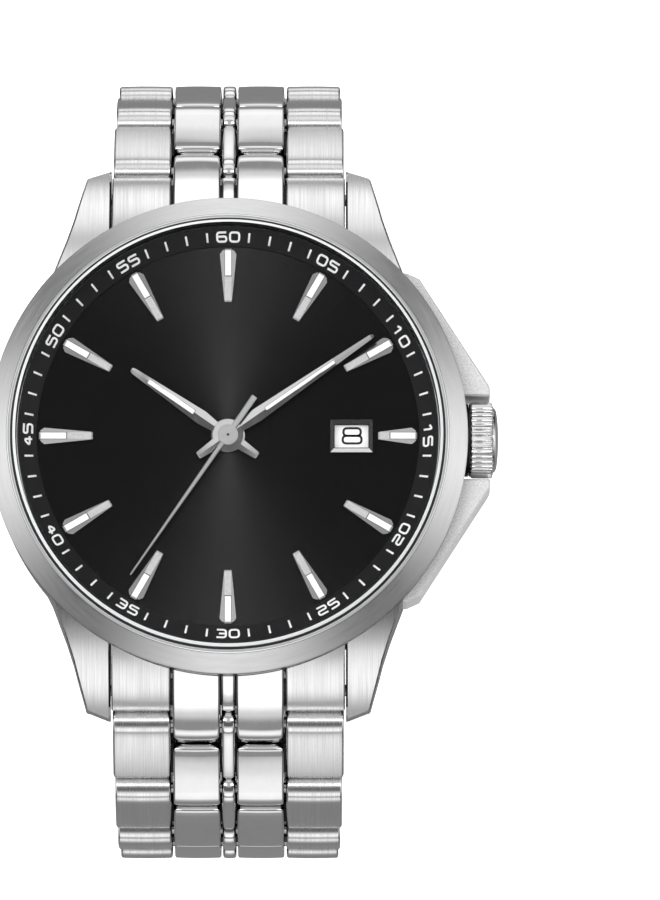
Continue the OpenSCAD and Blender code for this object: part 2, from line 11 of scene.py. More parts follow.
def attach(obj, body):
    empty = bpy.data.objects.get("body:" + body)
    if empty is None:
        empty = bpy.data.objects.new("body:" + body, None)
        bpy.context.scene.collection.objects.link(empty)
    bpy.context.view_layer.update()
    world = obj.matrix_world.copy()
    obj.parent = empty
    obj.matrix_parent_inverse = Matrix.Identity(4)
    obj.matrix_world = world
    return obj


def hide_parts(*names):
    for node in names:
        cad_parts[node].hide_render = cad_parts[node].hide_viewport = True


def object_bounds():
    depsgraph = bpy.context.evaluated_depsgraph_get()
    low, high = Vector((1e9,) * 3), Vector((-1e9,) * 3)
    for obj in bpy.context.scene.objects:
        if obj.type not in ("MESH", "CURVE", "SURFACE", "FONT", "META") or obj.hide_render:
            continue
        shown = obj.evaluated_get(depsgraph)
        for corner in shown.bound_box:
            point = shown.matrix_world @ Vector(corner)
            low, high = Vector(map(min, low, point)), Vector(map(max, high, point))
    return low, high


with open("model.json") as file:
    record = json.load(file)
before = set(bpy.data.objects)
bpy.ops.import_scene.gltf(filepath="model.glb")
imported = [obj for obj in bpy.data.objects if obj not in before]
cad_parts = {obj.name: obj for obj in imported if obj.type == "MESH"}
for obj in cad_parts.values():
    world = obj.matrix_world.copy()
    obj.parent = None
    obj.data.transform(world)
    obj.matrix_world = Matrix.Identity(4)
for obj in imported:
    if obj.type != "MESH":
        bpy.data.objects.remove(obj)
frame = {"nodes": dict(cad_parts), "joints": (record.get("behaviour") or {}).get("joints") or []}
CAD_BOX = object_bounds()
NODES = frame["nodes"]
JOINTS = {joint["name"]: joint for joint in frame["joints"]}
MM = 0.001
SCENE = bpy.context.scene


def add_object(name, data):
    obj = bpy.data.objects.new(name, data)
    SCENE.collection.objects.link(obj)
    return obj


# ---- shader nodes


class Nodes:
    """Short ways to add shader nodes to a tree and to wire them."""

    def __init__(self, tree):
        self.tree = tree

    def node(self, kind, **values):
        n = self.tree.nodes.new(kind)
        for key, value in values.items():
            setattr(n, key, value)
        return n

    def put(self, socket, value):
        """Links an output, or sets a number."""
        if isinstance(value, bpy.types.NodeSocket):
            self.tree.links.new(value, socket)
        else:
            socket.default_value = value

    def feed(self, n, **values):
        """Puts values into a node's inputs; an underscore stands for a space in an input's name."""
        for key, value in values.items():
            self.put(n.inputs[key.replace("_", " ")], value)

    def math(self, op, a, b=0.0):
        n = self.node("ShaderNodeMath", operation=op)
        self.put(n.inputs[0], a)
        self.put(n.inputs[1], b)
        return n.outputs[0]

    def plus(self, a, b):
        return self.math("ADD", a, b)

    def times(self, a, b):
        return self.math("MULTIPLY", a, b)

    def axes(self, vector):
        n = self.node("ShaderNodeSeparateXYZ")
        self.put(n.inputs[0], vector)
        return n.outputs


class Shade(Nodes):
    """A Principled material."""

    def __init__(self, name, colour, metallic=0.0, rough=0.5, **sockets):
        self.mat = bpy.data.materials.new(name)
        self.mat.use_nodes = True
        super().__init__(self.mat.node_tree)
        self.bsdf = self.tree.nodes["Principled BSDF"]
        self.set(Base_Color=(*colour, 1), Metallic=metallic, Roughness=rough, **sockets)
        self.place = self.node("ShaderNodeTexCoord").outputs["Object"]

    def set(self, **values):
        self.feed(self.bsdf, **values)

    def vector(self, *parts):
        n = self.node("ShaderNodeCombineXYZ")
        for socket, part in zip(n.inputs, parts):
            self.put(socket, part)
        return n.outputs[0]

    def stretched(self, scale):
        n = self.node("ShaderNodeMapping")
        self.feed(n, Vector=self.place, Scale=scale)
        return n.outputs[0]

    def round_z(self):
        """Distance from the Z axis, the direction away from it as two numbers, and the height."""
        x, y, z = self.axes(self.place)
        r = self.math("SQRT", self.plus(self.times(x, x), self.times(y, y)))
        safe = self.math("MAXIMUM", r, 1e-5)
        return r, self.math("DIVIDE", x, safe), self.math("DIVIDE", y, safe), z

    def polar(self, radial, around, up):
        """Coordinates that streak round the Z axis: fine across the radius, long round it."""
        r, east, north, z = self.round_z()
        fine = self.plus(self.times(r, radial), self.times(z, up))
        return self.vector(fine, self.times(east, around), self.times(north, around))

    def noise(self, vector, scale=1.0, detail=3.0, rough=0.55):
        n = self.node("ShaderNodeTexNoise")
        self.feed(n, Vector=vector, Scale=scale, Detail=detail, Roughness=rough)
        return n.outputs["Fac"]

    def spread(self, value, low, high, from_low=0.3, from_high=0.7):
        n = self.node("ShaderNodeMapRange")
        self.feed(n, Value=value, From_Min=from_low, From_Max=from_high, To_Min=low, To_Max=high)
        return n.outputs["Result"]

    def tint(self, value, dark, light):
        n = self.node("ShaderNodeMix", data_type="RGBA")
        self.feed(n, Factor=value, A=(*dark, 1), B=(*light, 1))
        self.set(Base_Color=n.outputs["Result"])

    def bump(self, height, depth, strength=1.0):
        """The depth is in millimetres."""
        n = self.node("ShaderNodeBump")
        self.feed(n, Height=height, Distance=depth * MM, Strength=strength)
        self.set(Normal=n.outputs["Normal"])

    def grain(self, axis, turn, amount):
        """Stretches the highlight round an axis, as brushing does."""
        n = self.node("ShaderNodeTangent", direction_type="RADIAL", axis=axis)
        self.set(Anisotropic=amount, Anisotropic_Rotation=turn, Tangent=n.outputs[0])


# ---- materials


def grey(v):
    return (v, v, v)


FINE = 9000.0  # streaks per metre across the brushing
LONG = 110.0  # streaks per metre along it
TURNED = 5200.0  # rings per metre left by a lathe
SCRATCHES = (2600.0, 400.0, 700.0)  # wear on the polish, per metre along X, Y and Z


def brushed(name, scale, light=0.62, dark=0.47, rough=0.3, depth=0.004, grain=None):
    s = Shade(name, grey(light), 1.0, rough)
    streak = s.noise(s.stretched(scale), detail=4.0, rough=0.7)
    cloud = s.noise(s.place, scale=260.0, detail=2.0)
    both = s.plus(s.times(streak, 0.8), s.times(cloud, 0.2))
    s.tint(s.spread(both, 0, 1, 0.32, 0.68), grey(dark), grey(light))
    s.set(Roughness=s.spread(both, rough + 0.07, rough - 0.07))
    s.bump(streak, depth)
    if grain:
        s.grain(*grain)
    return s.mat


def ring_brushed(name, light, dark, rough, depth=0.004):
    s = Shade(name, grey(light), 1.0, rough)
    streak = s.noise(s.polar(FINE, 5.0, FINE * 0.8), detail=4.0, rough=0.7)
    s.tint(s.spread(streak, 0, 1, 0.32, 0.68), grey(dark), grey(light))
    s.set(Roughness=s.spread(streak, rough + 0.06, rough - 0.06))
    s.bump(streak, depth)
    s.grain("Z", 0.25, 0.75)
    return s.mat


def polished(name, light=0.8, rough=0.06, wear=0.05, wave=0.0):
    s = Shade(name, grey(light), 1.0, rough)
    haze = s.noise(s.place, scale=900.0, detail=4.0)
    scratch = s.noise(s.stretched(SCRATCHES), detail=2.0)
    s.set(Roughness=s.spread(s.times(haze, scratch), rough, rough + wear, 0.2, 0.4))
    s.tint(s.spread(haze, 0, 1), grey(light * 0.96), grey(light))
    if wave:
        s.bump(s.noise(s.place, scale=180.0, detail=1.0), wave)
    return s.mat


def blasted(name, light):
    """Steel with a fine matt grain all over."""
    s = Shade(name, grey(light), 0.5, 0.5)
    pits = s.noise(s.place, scale=7000.0, detail=3.0, rough=0.75)
    s.tint(s.spread(pits, 0, 1, 0.36, 0.64), grey(light * 0.78), grey(light * 1.1))
    s.set(Roughness=s.spread(pits, 0.42, 0.58))
    s.bump(pits, 0.03)
    return s.mat


def plain(name, colour, metallic, rough, fleck=900.0, depth=0.006, change=0.12, **sockets):
    """Paint, plastic, rubber or plated metal with a fine surface."""
    s = Shade(name, colour, metallic, rough, **sockets)
    n = s.noise(s.place, scale=fleck, detail=3.0)
    dark = tuple(c * (1 - change) for c in colour)
    s.tint(s.spread(n, 0, 1), dark, tuple(min(1, c * (1 + change)) for c in colour))
    s.set(Roughness=s.spread(n, rough - 0.05, rough + 0.05))
    s.bump(n, depth)
    return s.mat


def striped(name):
    """Nickel plate with the rippled stripes of a finished movement."""
    s = Shade(name, (0.66, 0.64, 0.60), 1.0, 0.24)
    x, y, z = s.axes(s.place)
    wave = s.math("SINE", s.times(s.plus(x, s.times(y, 0.35)), 2100.0))
    curl = s.noise(s.polar(TURNED, 3.0, 0.0), detail=3.0)
    s.tint(s.spread(wave, 0, 1, -1, 1), (0.52, 0.50, 0.47), (0.74, 0.72, 0.68))
    s.set(Roughness=s.spread(curl, 0.16, 0.34))
    s.bump(s.plus(wave, curl), 0.01)
    return s.mat


def pearled(name):
    """Plate with small overlapping ground spots."""
    s = Shade(name, (0.70, 0.55, 0.30), 1.0, 0.26)
    v = s.node("ShaderNodeTexVoronoi")
    s.feed(v, Vector=s.place, Scale=900.0)
    rings = s.math("SINE", s.times(v.outputs["Distance"], 34.0))
    s.tint(s.spread(rings, 0, 1, -1, 1), (0.60, 0.47, 0.26), (0.76, 0.61, 0.35))
    s.set(Roughness=s.spread(rings, 0.2, 0.34, -1, 1))
    s.bump(rings, 0.004)
    return s.mat


def sunburst(name):
    """Black lacquer brushed out from the centre, with faint turned rings near it."""
    s = Shade(name, grey(0.022), 1.0, 0.30)
    r, east, north, z = s.round_z()
    outward = s.vector(s.times(east, 95.0), s.times(north, 95.0), s.times(r, 60.0))
    rays = s.noise(outward, detail=4.0, rough=0.7)
    rings = s.noise(s.polar(TURNED, 1.5, 0.0), detail=3.0, rough=0.6)
    faded = s.times(rings, s.spread(r, 1.0, 0.0, 0.0035, 0.0095))
    mixed = s.plus(s.times(rays, 0.6), s.times(faded, 0.5))
    s.tint(s.spread(mixed, 0, 1, 0.25, 0.65), grey(0.015), grey(0.021))
    s.set(Roughness=s.spread(rays, 0.31, 0.28))
    s.bump(faded, 0.003, 0.4)
    s.grain("Z", 0.0, 0.93)
    return s.mat


def glass(name):
    """The clear faces of the crystal."""
    s = Shade(name, (0.02, 0.02, 0.022), 0.0, 0.02, Alpha=0.03, IOR=1.45, Specular_IOR_Level=0.35)
    s.set(Roughness=s.spread(s.noise(s.place, scale=120.0, detail=2.0), 0.015, 0.03))
    return s.mat


def glass_edge(name):
    """Its ground edge."""
    s = Shade(name, (0.86, 0.88, 0.89), 0.0, 0.12, Alpha=0.8)
    s.set(Roughness=s.spread(s.noise(s.polar(2400.0, 2.0, 2400.0), detail=2.0), 0.08, 0.2))
    return s.mat


LENGTHWAYS = ("X", 0.25, 0.6)  # the grain of the bracelet and lugs
BEZEL = ring_brushed("bezel_brushed", 0.94, 0.86, 0.34, 0.0015)
BACK = ring_brushed("back_brushed", 0.62, 0.50, 0.30)
LONGWAYS = brushed("long_brushed", (FINE, LONG, LONG), 0.88, 0.74, 0.25, 0.002, LENGTHWAYS)
LUG = brushed("lug_brushed", (FINE, LONG, LONG * 1.5), 0.90, 0.76, 0.25, 0.002, LENGTHWAYS)
FLANK = brushed("flank_brushed", (LONG, LONG, FINE), 0.64, 0.52, 0.27)
POLISH = polished("polished", 0.83, 0.05)
LINK_POLISH = polished("link_polished", 0.86, 0.045, wave=0.02)
SATIN = polished("satin", 0.60, 0.24, 0.1)
CROWN = polished("crown_polish", 0.92, 0.09, 0.04)
GUARD = blasted("guard_blasted", 0.74)
RUBBER = plain("rubber", (0.018, 0.018, 0.02), 0.0, 0.62, depth=0.01)
BRASS = plain("brass", (0.72, 0.53, 0.26), 1.0, 0.28)
NICKEL = plain("nickel", (0.62, 0.60, 0.56), 1.0, 0.25)
BLUED = plain("blued", (0.03, 0.07, 0.30), 1.0, 0.22)
HOLDER = plain("holder", (0.80, 0.79, 0.75), 0.0, 0.45)
DARK_METAL = polished("dark_metal", 0.10, 0.25, 0.1)
# painted shade: a near-black steel laid on faces where shadow falls, in gaps, seats and recesses, and under
# the bezel
PAINTED_SHADE = polished("painted_shade_steel", 0.035, 0.35, 0.1)
WHITE = (0.96, 0.96, 0.95)
WHITE_PRINT = plain("white_print", WHITE, 0.0, 0.5, fleck=4000.0, depth=0.003, change=0.04)
BLACK_PRINT = plain("black_print", grey(0.012), 0.0, 0.5, fleck=4000.0, depth=0.003)
# the date disc's white paint, with a faint glow that is painted light, lifting it out of the shade under
# the dial
DATE_WHITE_GLOWING = plain("date_white", WHITE, 0.0, 0.42, fleck=3000.0, depth=0.002, change=0.03,
                   Emission_Color=(1, 1, 1, 1), Emission_Strength=0.15)
LUME = plain("lume_paint", (0.90, 0.91, 0.89), 0.0, 0.55, fleck=6000.0, depth=0.008, change=0.05)
BLACK_LINE = plain("black_edge", grey(0.01), 0.0, 0.4)
MARKER = polished("marker_facets", 0.50, 0.13)
MARKER_TOP = plain("marker_top", (0.55, 0.55, 0.56), 0.4, 0.42, fleck=5000.0, depth=0.004)
HAND = polished("hand_facets", 0.80, 0.16)
SECOND = plain("second_hand_satin", (0.42, 0.42, 0.425), 0.6, 0.36, fleck=4000.0, depth=0.002, change=0.04)
# the date frame's polish, and a dark copy of it that is painted shade
FRAME_BRIGHT = polished("frame_bright", 0.80, 0.12)
FRAME_PAINTED_SHADE = polished("frame_painted_shade", 0.06, 0.2)
STRIPES = striped("striped_bridge")
PEARLED = pearled("pearled_plate")
DIAL = sunburst("sunburst_black")
CHAPTER = plain("chapter_grey", (0.011, 0.011, 0.012), 0.0, 0.5, fleck=7000.0, depth=0.004, change=0.2,
                Specular_IOR_Level=0.25)
CRYSTAL = glass("sapphire")
CRYSTAL_EDGE = glass_edge("sapphire_edge")

# ---- mesh helpers


def mirror(x, y=1):
    return Matrix.Diagonal((x, y, 1, 1))


def along_x(x, y, z):
    """Turns a lathe's Z axis to X and moves it."""
    return Matrix.Translation((x, y, z)) @ Matrix.Rotation(radians(90), 4, "Y")


def clock(angle):
    """Turns the X axis to an angle that runs clockwise from 12."""
    return Matrix.Rotation(radians(90 - angle), 4, "Z")


def spoke(r, a, z):
    """A point at a distance r from the Z axis, in the direction a."""
    return (r * cos(a), r * sin(a), z)


def dome(y, y0, z0, r):
    """Height at y of an arc of radius r round the point (y0, z0)."""
    return z0 + sqrt(r**2 - (y - y0) ** 2)


class Solid:
    """Collects vertices, faces and material numbers of closed shells, in millimetres."""

    def __init__(self):
        self.verts, self.faces, self.tags = [], [], []

    def add(self, verts, faces, tag=0, move=None):
        start = len(self.verts)
        for v in verts:
            v = Vector(v)
            self.verts.append(move @ v if move else v)
        for k, f in enumerate(faces):
            self.faces.append([start + i for i in f])
            self.tags.append(tag[k] if isinstance(tag, list) else tag)

    def lathe(self, profile, steps=256, tag=0, move=None, tag_of=None):
        """A closed outline of (radius, height) points turned round Z."""
        verts, faces, tags = [], [], []
        n = len(profile)
        for s in range(steps):
            verts += [spoke(r, 2 * pi * s / steps, z) for r, z in profile]
        for s in range(steps):
            t = (s + 1) % steps
            for i in range(n):
                j = (i + 1) % n
                here, there = profile[i][0] < 1e-9, profile[j][0] < 1e-9
                if here and there:
                    continue
                quad = [s * n + i, t * n + i, t * n + j, s * n + j]
                if here:
                    quad.pop(1)
                elif there:
                    quad.pop(2)
                faces.append(quad)
                tags.append(tag_of(i) if tag_of else tag)
        self.add(verts, faces, tags, move)

    def box(self, x0, x1, y0, y1, z0, z1, tag):
        self.rows([[(x0, y0, z), (x1, y0, z), (x1, y1, z), (x0, y1, z)] for z in (z0, z1)], tag)

    def rows(self, rows, tag=0, move=None, cap=True):
        """A loft through rows of points, each a closed loop of the same length."""
        n = len(rows[0])
        verts = [p for row in rows for p in row]
        faces = []
        for r in range(len(rows) - 1):
            for i in range(n):
                j = (i + 1) % n
                faces.append([r * n + i, r * n + j, (r + 1) * n + j, (r + 1) * n + i])
        if cap:
            last = (len(rows) - 1) * n
            faces += [list(range(n))[::-1], [last + i for i in range(n)]]
        self.add(verts, faces, tag, move)

    def turn(self, matrix):
        self.verts = [matrix @ v for v in self.verts]

    def make(self, name, mats, body, slot, sharp, nodes=()):
        """Makes the mesh piece: smooth faces, and sharp edges where they turn more than sharp degrees."""
        mesh = bpy.data.meshes.new(name)
        mesh.from_pydata([Vector(v) * MM for v in self.verts], [], self.faces)
        for m in mats:
            mesh.materials.append(m)
        for polygon, tag in zip(mesh.polygons, self.tags):
            polygon.material_index = tag
        bm = bmesh.new()
        bm.from_mesh(mesh)
        bmesh.ops.remove_doubles(bm, verts=bm.verts, dist=1e-7)
        bmesh.ops.recalc_face_normals(bm, faces=bm.faces)
        for f in bm.faces:
            f.smooth = True
        for e in bm.edges:
            e.smooth = len(e.link_faces) == 2 and e.calc_face_angle(0) < radians(sharp)
        bm.to_mesh(mesh)
        bm.free()
        obj = add_object(name, mesh)
        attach(obj, body)
        if nodes:
            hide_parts(*nodes)
        return obj


def mirrored(x, half):
    """A closed section at x, from the (y, z) points of its right half."""
    return [(x, -y, z) for y, z in reversed(half)] + [(x, y, z) for y, z in half]


def rounded(outline, r, n=4, closed=True):
    """Rounds the corners of a plan outline with a radius, or less where the sides are short."""
    out, count = [], len(outline)
    for i in range(count):
        p = Vector(outline[i])
        if not closed and i in (0, count - 1):
            out.append(tuple(p))
            continue
        a, b = Vector(outline[i - 1]) - p, Vector(outline[(i + 1) % count]) - p
        half = a.angle(b) / 2
        if half > 1.5:  # nearly straight on
            out.append(tuple(p))
            continue
        back = min(r / tan(half), a.length * 0.49, b.length * 0.49)
        start, end = p + a.normalized() * back, p + b.normalized() * back
        for k in range(n + 1):
            t = k / n
            out.append(tuple(start * (1 - t) ** 2 + p * 2 * t * (1 - t) + end * t * t))
    return out


# ---- printed figures

SQUARE = [(0, 0), (1, 0), (1, 1), (0, 1)]
# strokes of each figure in a unit box: (points, closed)
FIGURES = {
    "0": [(SQUARE, True)],
    "1": [([(0.12, 0.72), (0.58, 1), (0.58, 0)], False)],
    "2": [([(0, 0.98), (1, 0.98), (1, 0.5), (0, 0.5), (0, 0), (1, 0)], False)],
    "3": [([(0, 1), (1, 1), (1, 0), (0, 0)], False), ([(0.25, 0.5), (0.95, 0.5)], False)],
    "4": [([(0.78, 0), (0.78, 1), (0, 0.3), (1.08, 0.3)], False)],
    "5": [([(1, 1), (0, 1), (0, 0.56), (1, 0.56), (1, 0), (0, 0)], False)],
    "6": [([(1, 1), (0, 1), (0, 0), (1, 0), (1, 0.55), (0.04, 0.55)], False)],
    "7": [([(0, 1), (1, 1), (0.42, 0)], False)],
    "8": [([(0.04, 0.5), (0.96, 0.5), (0.96, 1), (0.04, 1)], True),
          ([(0, 0), (1, 0), (1, 0.5), (0, 0.5)], True)],
    "9": [([(0, 0), (1, 0), (1, 1), (0, 1), (0, 0.45), (0.96, 0.45)], False)],
}


def stroke(points, closed, half, corner):
    """Left and right edges of a stroke, with rounded corners."""
    pts = [Vector(p) for p in rounded(points, corner, 4, closed)]
    clean = [pts[0]]
    for p in pts[1:]:
        if (p - clean[-1]).length > 1e-4:
            clean.append(p)
    if closed and (clean[0] - clean[-1]).length < 1e-4:
        clean.pop()
    n, left, right = len(clean), [], []
    for i, p in enumerate(clean):
        before = clean[i - 1] if closed or i else None
        after = clean[(i + 1) % n] if closed or i < n - 1 else None
        a = (p - before).normalized() if before is not None else (after - p).normalized()
        b = (after - p).normalized() if after is not None else a
        side = (a + b).normalized()
        normal = Vector((-side.y, side.x))
        reach = half / max(0.5, normal.dot(Vector((-a.y, a.x))))
        left.append(p + normal * reach)
        right.append(p - normal * reach)
    return left, right


def figure(solid, text, width, height, gap, half, corner, onto, tag=0):
    """Adds figures centred on the origin of a flat plan; onto(x, y, level) places each point."""
    total = len(text) * width + (len(text) - 1) * gap
    w, h = width - 2 * half, height - 2 * half
    for k, char in enumerate(text):
        x0 = -total / 2 + k * (width + gap)
        for points, closed in FIGURES[char]:
            placed = [(x0 + half + px * w, -h / 2 + py * h) for px, py in points]
            left, right = stroke(placed, closed, half, corner)
            n = len(left)
            verts = [onto(p.x, p.y, level) for level in (0, 1) for edge in (left, right) for p in edge]
            faces = []
            for i in range(n if closed else n - 1):
                j = (i + 1) % n
                faces += [
                    [2 * n + i, 2 * n + j, 3 * n + j, 3 * n + i], [i, n + i, n + j, j],
                    [i, j, 2 * n + j, 2 * n + i], [n + i, 3 * n + i, 3 * n + j, n + j],
                ]
            if not closed:
                faces += [[0, 2 * n, 3 * n, n], [n - 1, 2 * n - 1, 4 * n - 1, 3 * n - 1]]
            solid.add(verts, faces, tag)


# ---- bezel, crystal, chapter ring

bezel = Solid()
# The underside, the outer wall and the seat round the crystal get painted shade, dark where shadow falls
# under and inside the bezel; the top and its outer bevel are brushed and the inner lip polished.
bezel.lathe([
    (18.0, 8.97), (19.62, 8.97), (19.62, 8.5), (20.32, 8.5), (20.4, 8.56), (20.4, 9.16), (20.34, 9.26),
    (18.84, 10.48), (18.79, 10.56), (18.72, 10.6), (18.58, 10.6), (18.5, 10.56), (18.46, 10.46),
    (18.46, 10.02), (18.0, 10.0),
], tag_of=lambda i: 0 if i in (5, 6) else 1 if 7 <= i <= 11 else 2)
bezel.make("bezel_ring", [BEZEL, POLISH, PAINTED_SHADE], "head", nodes=["bezel"], slot="brushed_steel", sharp=14)

crystal = Solid()
crystal.lathe([(0.0, 10.07), (18.26, 10.07), (18.29, 10.98), (18.13, 11.2), (18.05, 11.25), (0.0, 11.25)],
              tag_of=lambda i: 1 if 1 <= i <= 3 else 0)
crystal.make("crystal_glass", [CRYSTAL, CRYSTAL_EDGE], "head", nodes=["crystal"], slot="crystal_glass",
             sharp=20)

gasket = Solid()
gasket.lathe([(18.31, 10.04), (18.45, 10.04), (18.45, 10.46), (18.42, 10.5), (18.34, 10.5), (18.31, 10.46)])
gasket.make("crystal_seal", [RUBBER], "head", nodes=["crystal_gasket"], slot="gasket_rubber", sharp=50)

CH_IN, CH_OUT, CH_LOW, CH_HIGH = 16.27, 17.72, 8.8, 9.95  # the chapter ring's sloping face
CH_SLOPE = (CH_HIGH - CH_LOW) / (CH_OUT - CH_IN)

ring = Solid()
# Its outer top edge gets painted shade, the dark gap where shadow falls between the ring and the crystal's
# seat.
ring.lathe([
    (CH_IN, 8.63), (17.9, 8.63), (17.9, CH_HIGH - 0.02), (17.87, CH_HIGH), (CH_OUT + 0.03, CH_HIGH),
    (CH_OUT, CH_HIGH - 0.03), (CH_IN + 0.03, CH_LOW + 0.02), (CH_IN, CH_LOW - 0.03),
], tag_of=lambda i: 1 if i in (3, 4) else 0)
ring.make("chapter_ring_base", [CHAPTER, PAINTED_SHADE], "head", nodes=["chapter_ring"], slot="black_dial",
          sharp=20)

INK, SUNK = 0.018, 0.003  # how thick the print is, and how far its back is let in
TRACK_R = 17.0
TICK_W, TICK_L = 0.085, 0.37  # half width and half length of a minute stroke


def on_ring(angle, flip=False):
    """Places a plan point on the sloping ring; the angle runs clockwise from 12."""

    def onto(x, y, level):
        if flip:
            x, y = -x, -y
        r = TRACK_R + y
        a = radians(90 - angle) - x / TRACK_R
        z = CH_LOW + (r - CH_IN) * CH_SLOPE + level * INK - SUNK
        return spoke(r, a, z)

    return onto


ticks = Solid()
for minute in range(60):
    if minute % 5:
        corners = [(-TICK_W, -TICK_L), (TICK_W, -TICK_L), (TICK_W, TICK_L), (-TICK_W, TICK_L)]
        onto = on_ring(minute * 6)
        ticks.rows([[onto(x, y, level) for x, y in corners] for level in (0, 1)])
for hour in range(1, 13):
    upside_down = 4 <= hour <= 8  # these figures stand with their heads towards the centre
    figure(ticks, "%02d" % (hour * 5), 0.95, 0.88, 0.15, 0.085, 0.24, on_ring(hour * 30, upside_down))
ticks.make("minute_track", [WHITE_PRINT], "head", slot="lume", sharp=60)

# ---- dial and markers

DIAL_Z = 8.6
M_OUT, M_WIDE_AT, M_LUME = 16.07, 15.62, 13.72  # a marker's end, widest place and start of the fill
W_FOOT, W_WIDE, W_END = 0.315, 0.71, 0.36  # half widths of its foot
BAR = 0.285  # half width of its flat top
FILL, RIM = 0.262, 0.295  # half widths of the fill and of the dark line round it
FACET_FALL = 0.51  # slope of the facets beside the top
M_TOP, M_END_TOP = 0.36, 0.24  # its height above the dial, and at its two ends
LET_IN = 0.002  # how far applied pieces reach into the dial


def marker_half(r, r_in):
    """Half width of a marker's foot, which flares outwards and is cut to a hexagon at its outer end."""
    if r <= M_WIDE_AT:
        return W_FOOT + (W_WIDE - W_FOOT) * (r - r_in) / (M_WIDE_AT - r_in)
    return W_WIDE - (W_WIDE - W_END) * (r - M_WIDE_AT) / (M_OUT - M_WIDE_AT)


def hour_marker(hour):
    """The marker at 3 is shorter, because the date window takes its inner end."""
    r_in, split = (12.76, 13.78) if hour == 3 else (11.5, M_LUME)
    stations = [r_in, r_in + 0.12, split - 0.05, split, split + 0.05, M_WIDE_AT, M_OUT - 0.12, M_OUT]
    foot = DIAL_Z - LET_IN
    rows = []
    for r in stations:
        w = marker_half(r, r_in)
        end = r in (r_in, M_OUT)
        z_top = DIAL_Z + (M_END_TOP if end else M_TOP)
        b = min(BAR, w - (0.03 if end else 0.02))
        z_edge = z_top - FACET_FALL * (w - b)
        rows.append(mirrored(r, [(b, z_top), (w, z_edge), (w, foot)]))
    s = Solid()
    s.rows(rows)
    for k in range(len(rows) - 1):
        s.tags[k * 6 + 2] = 3
    # a black strip of painted shade where a thin groove parts the plain and the filled part of the top,
    # then the fill itself
    start, stop = split + 0.03, M_OUT - 0.15
    s.box(split - 0.05, start, -BAR, BAR, DIAL_Z + 0.352, DIAL_Z + 0.366, 2)
    s.box(start, stop, -FILL, FILL, DIAL_Z + 0.34, DIAL_Z + 0.388, 1)
    for y0, y1 in ((-RIM, -FILL), (FILL, RIM)):
        s.box(split, stop, y0, y1, DIAL_Z + 0.345, DIAL_Z + 0.368, 2)
    s.turn(clock(hour * 30))
    mats = [MARKER, LUME, BLACK_LINE, MARKER_TOP]
    return s.make("marker_%02d" % hour, mats, "head", slot="marker_metal", sharp=12)


markers = [hour_marker(hour) for hour in range(1, 13)]
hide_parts("hour_markers", "marker_lume")

# ---- date

DATE_X = 10.5
OUTER, INNER = (1.83, 1.435), (1.45, 0.98)  # half width and half height of the window frame


def frame_ring(half, grow, z):
    """One loop of the frame, at a height above the dial."""
    x, y = half[0] + grow, half[1] + grow
    return [(DATE_X + sx * x, sy * y, DIAL_Z + z) for sx, sy in ((-1, -1), (1, -1), (1, 1), (-1, 1))]


window = Solid()
window.rows([frame_ring(*row) for row in (
    (OUTER, 0, -LET_IN), (OUTER, 0, 0.14), (OUTER, -0.03, 0.17), (OUTER, -0.06, 0.17), (INNER, 0.02, -0.02),
    (INNER, -0.02, -0.08), (INNER, -0.02, -0.3), (INNER, -0.001, -0.3), (INNER, -0.001, -LET_IN),
)], cap=False)
# The faces on the 6 o'clock side, from the top inwards, keep the bright polish; the outer wall and the
# other sides take the dark copy, painted shade on the sides turned from the light.
window.tags = [0 if i // 4 >= 2 and i % 4 == 0 else 1 for i in range(len(window.faces))]
window.rows([window.verts[-4:], window.verts[:4]], cap=False)
window.make("date_window_frame", [FRAME_BRIGHT, FRAME_PAINTED_SHADE], "head", nodes=["date_frame"],
            slot="marker_metal", sharp=12)

DATES = 31
DAY_SHOWN = 8
DISC_LOW, DISC_Z, DISC_R = 7.8, 8.04, 12.43
GAP_R, TOOTH_R = 8.98, 8.75  # the teeth point inwards

disc = Solid()
columns = []
for k in range(DATES):
    for off, r in ((-0.3, TOOTH_R), (-0.12, GAP_R), (0.12, GAP_R), (0.3, TOOTH_R)):
        a = 2 * pi * (k + off) / DATES
        corners = ((r, DISC_LOW), (DISC_R, DISC_LOW), (DISC_R, DISC_Z), (r, DISC_Z))
        columns.append([spoke(at, a, z) for at, z in corners])
disc.rows(columns + columns[:1], cap=False)


def on_disc(day):
    """Places a plan point at a day's place on the disc; the day shown is in the window."""
    turn = Matrix.Rotation(radians((day - DAY_SHOWN) * 360 / DATES), 3, "Z")

    def onto(x, y, level):
        return turn @ Vector((DATE_X + 0.05 + x, y + 0.1, DISC_Z - 0.002 + level * 0.016))

    return onto


ONE_FIGURE, TWO_FIGURES = (1.80, 1.50, 0, 0.10, 0.6), (1.12, 1.44, 0.14, 0.10, 0.42)  # their sizes
for day in range(1, DATES + 1):
    figure(disc, str(day), *(ONE_FIGURE if day < 10 else TWO_FIGURES), on_disc(day), 1)
disc.make("date_disc_printed", [DATE_WHITE_GLOWING, BLACK_PRINT], "date_disc", nodes=["date_disc"],
          slot="date_white", sharp=40)

# ---- hands


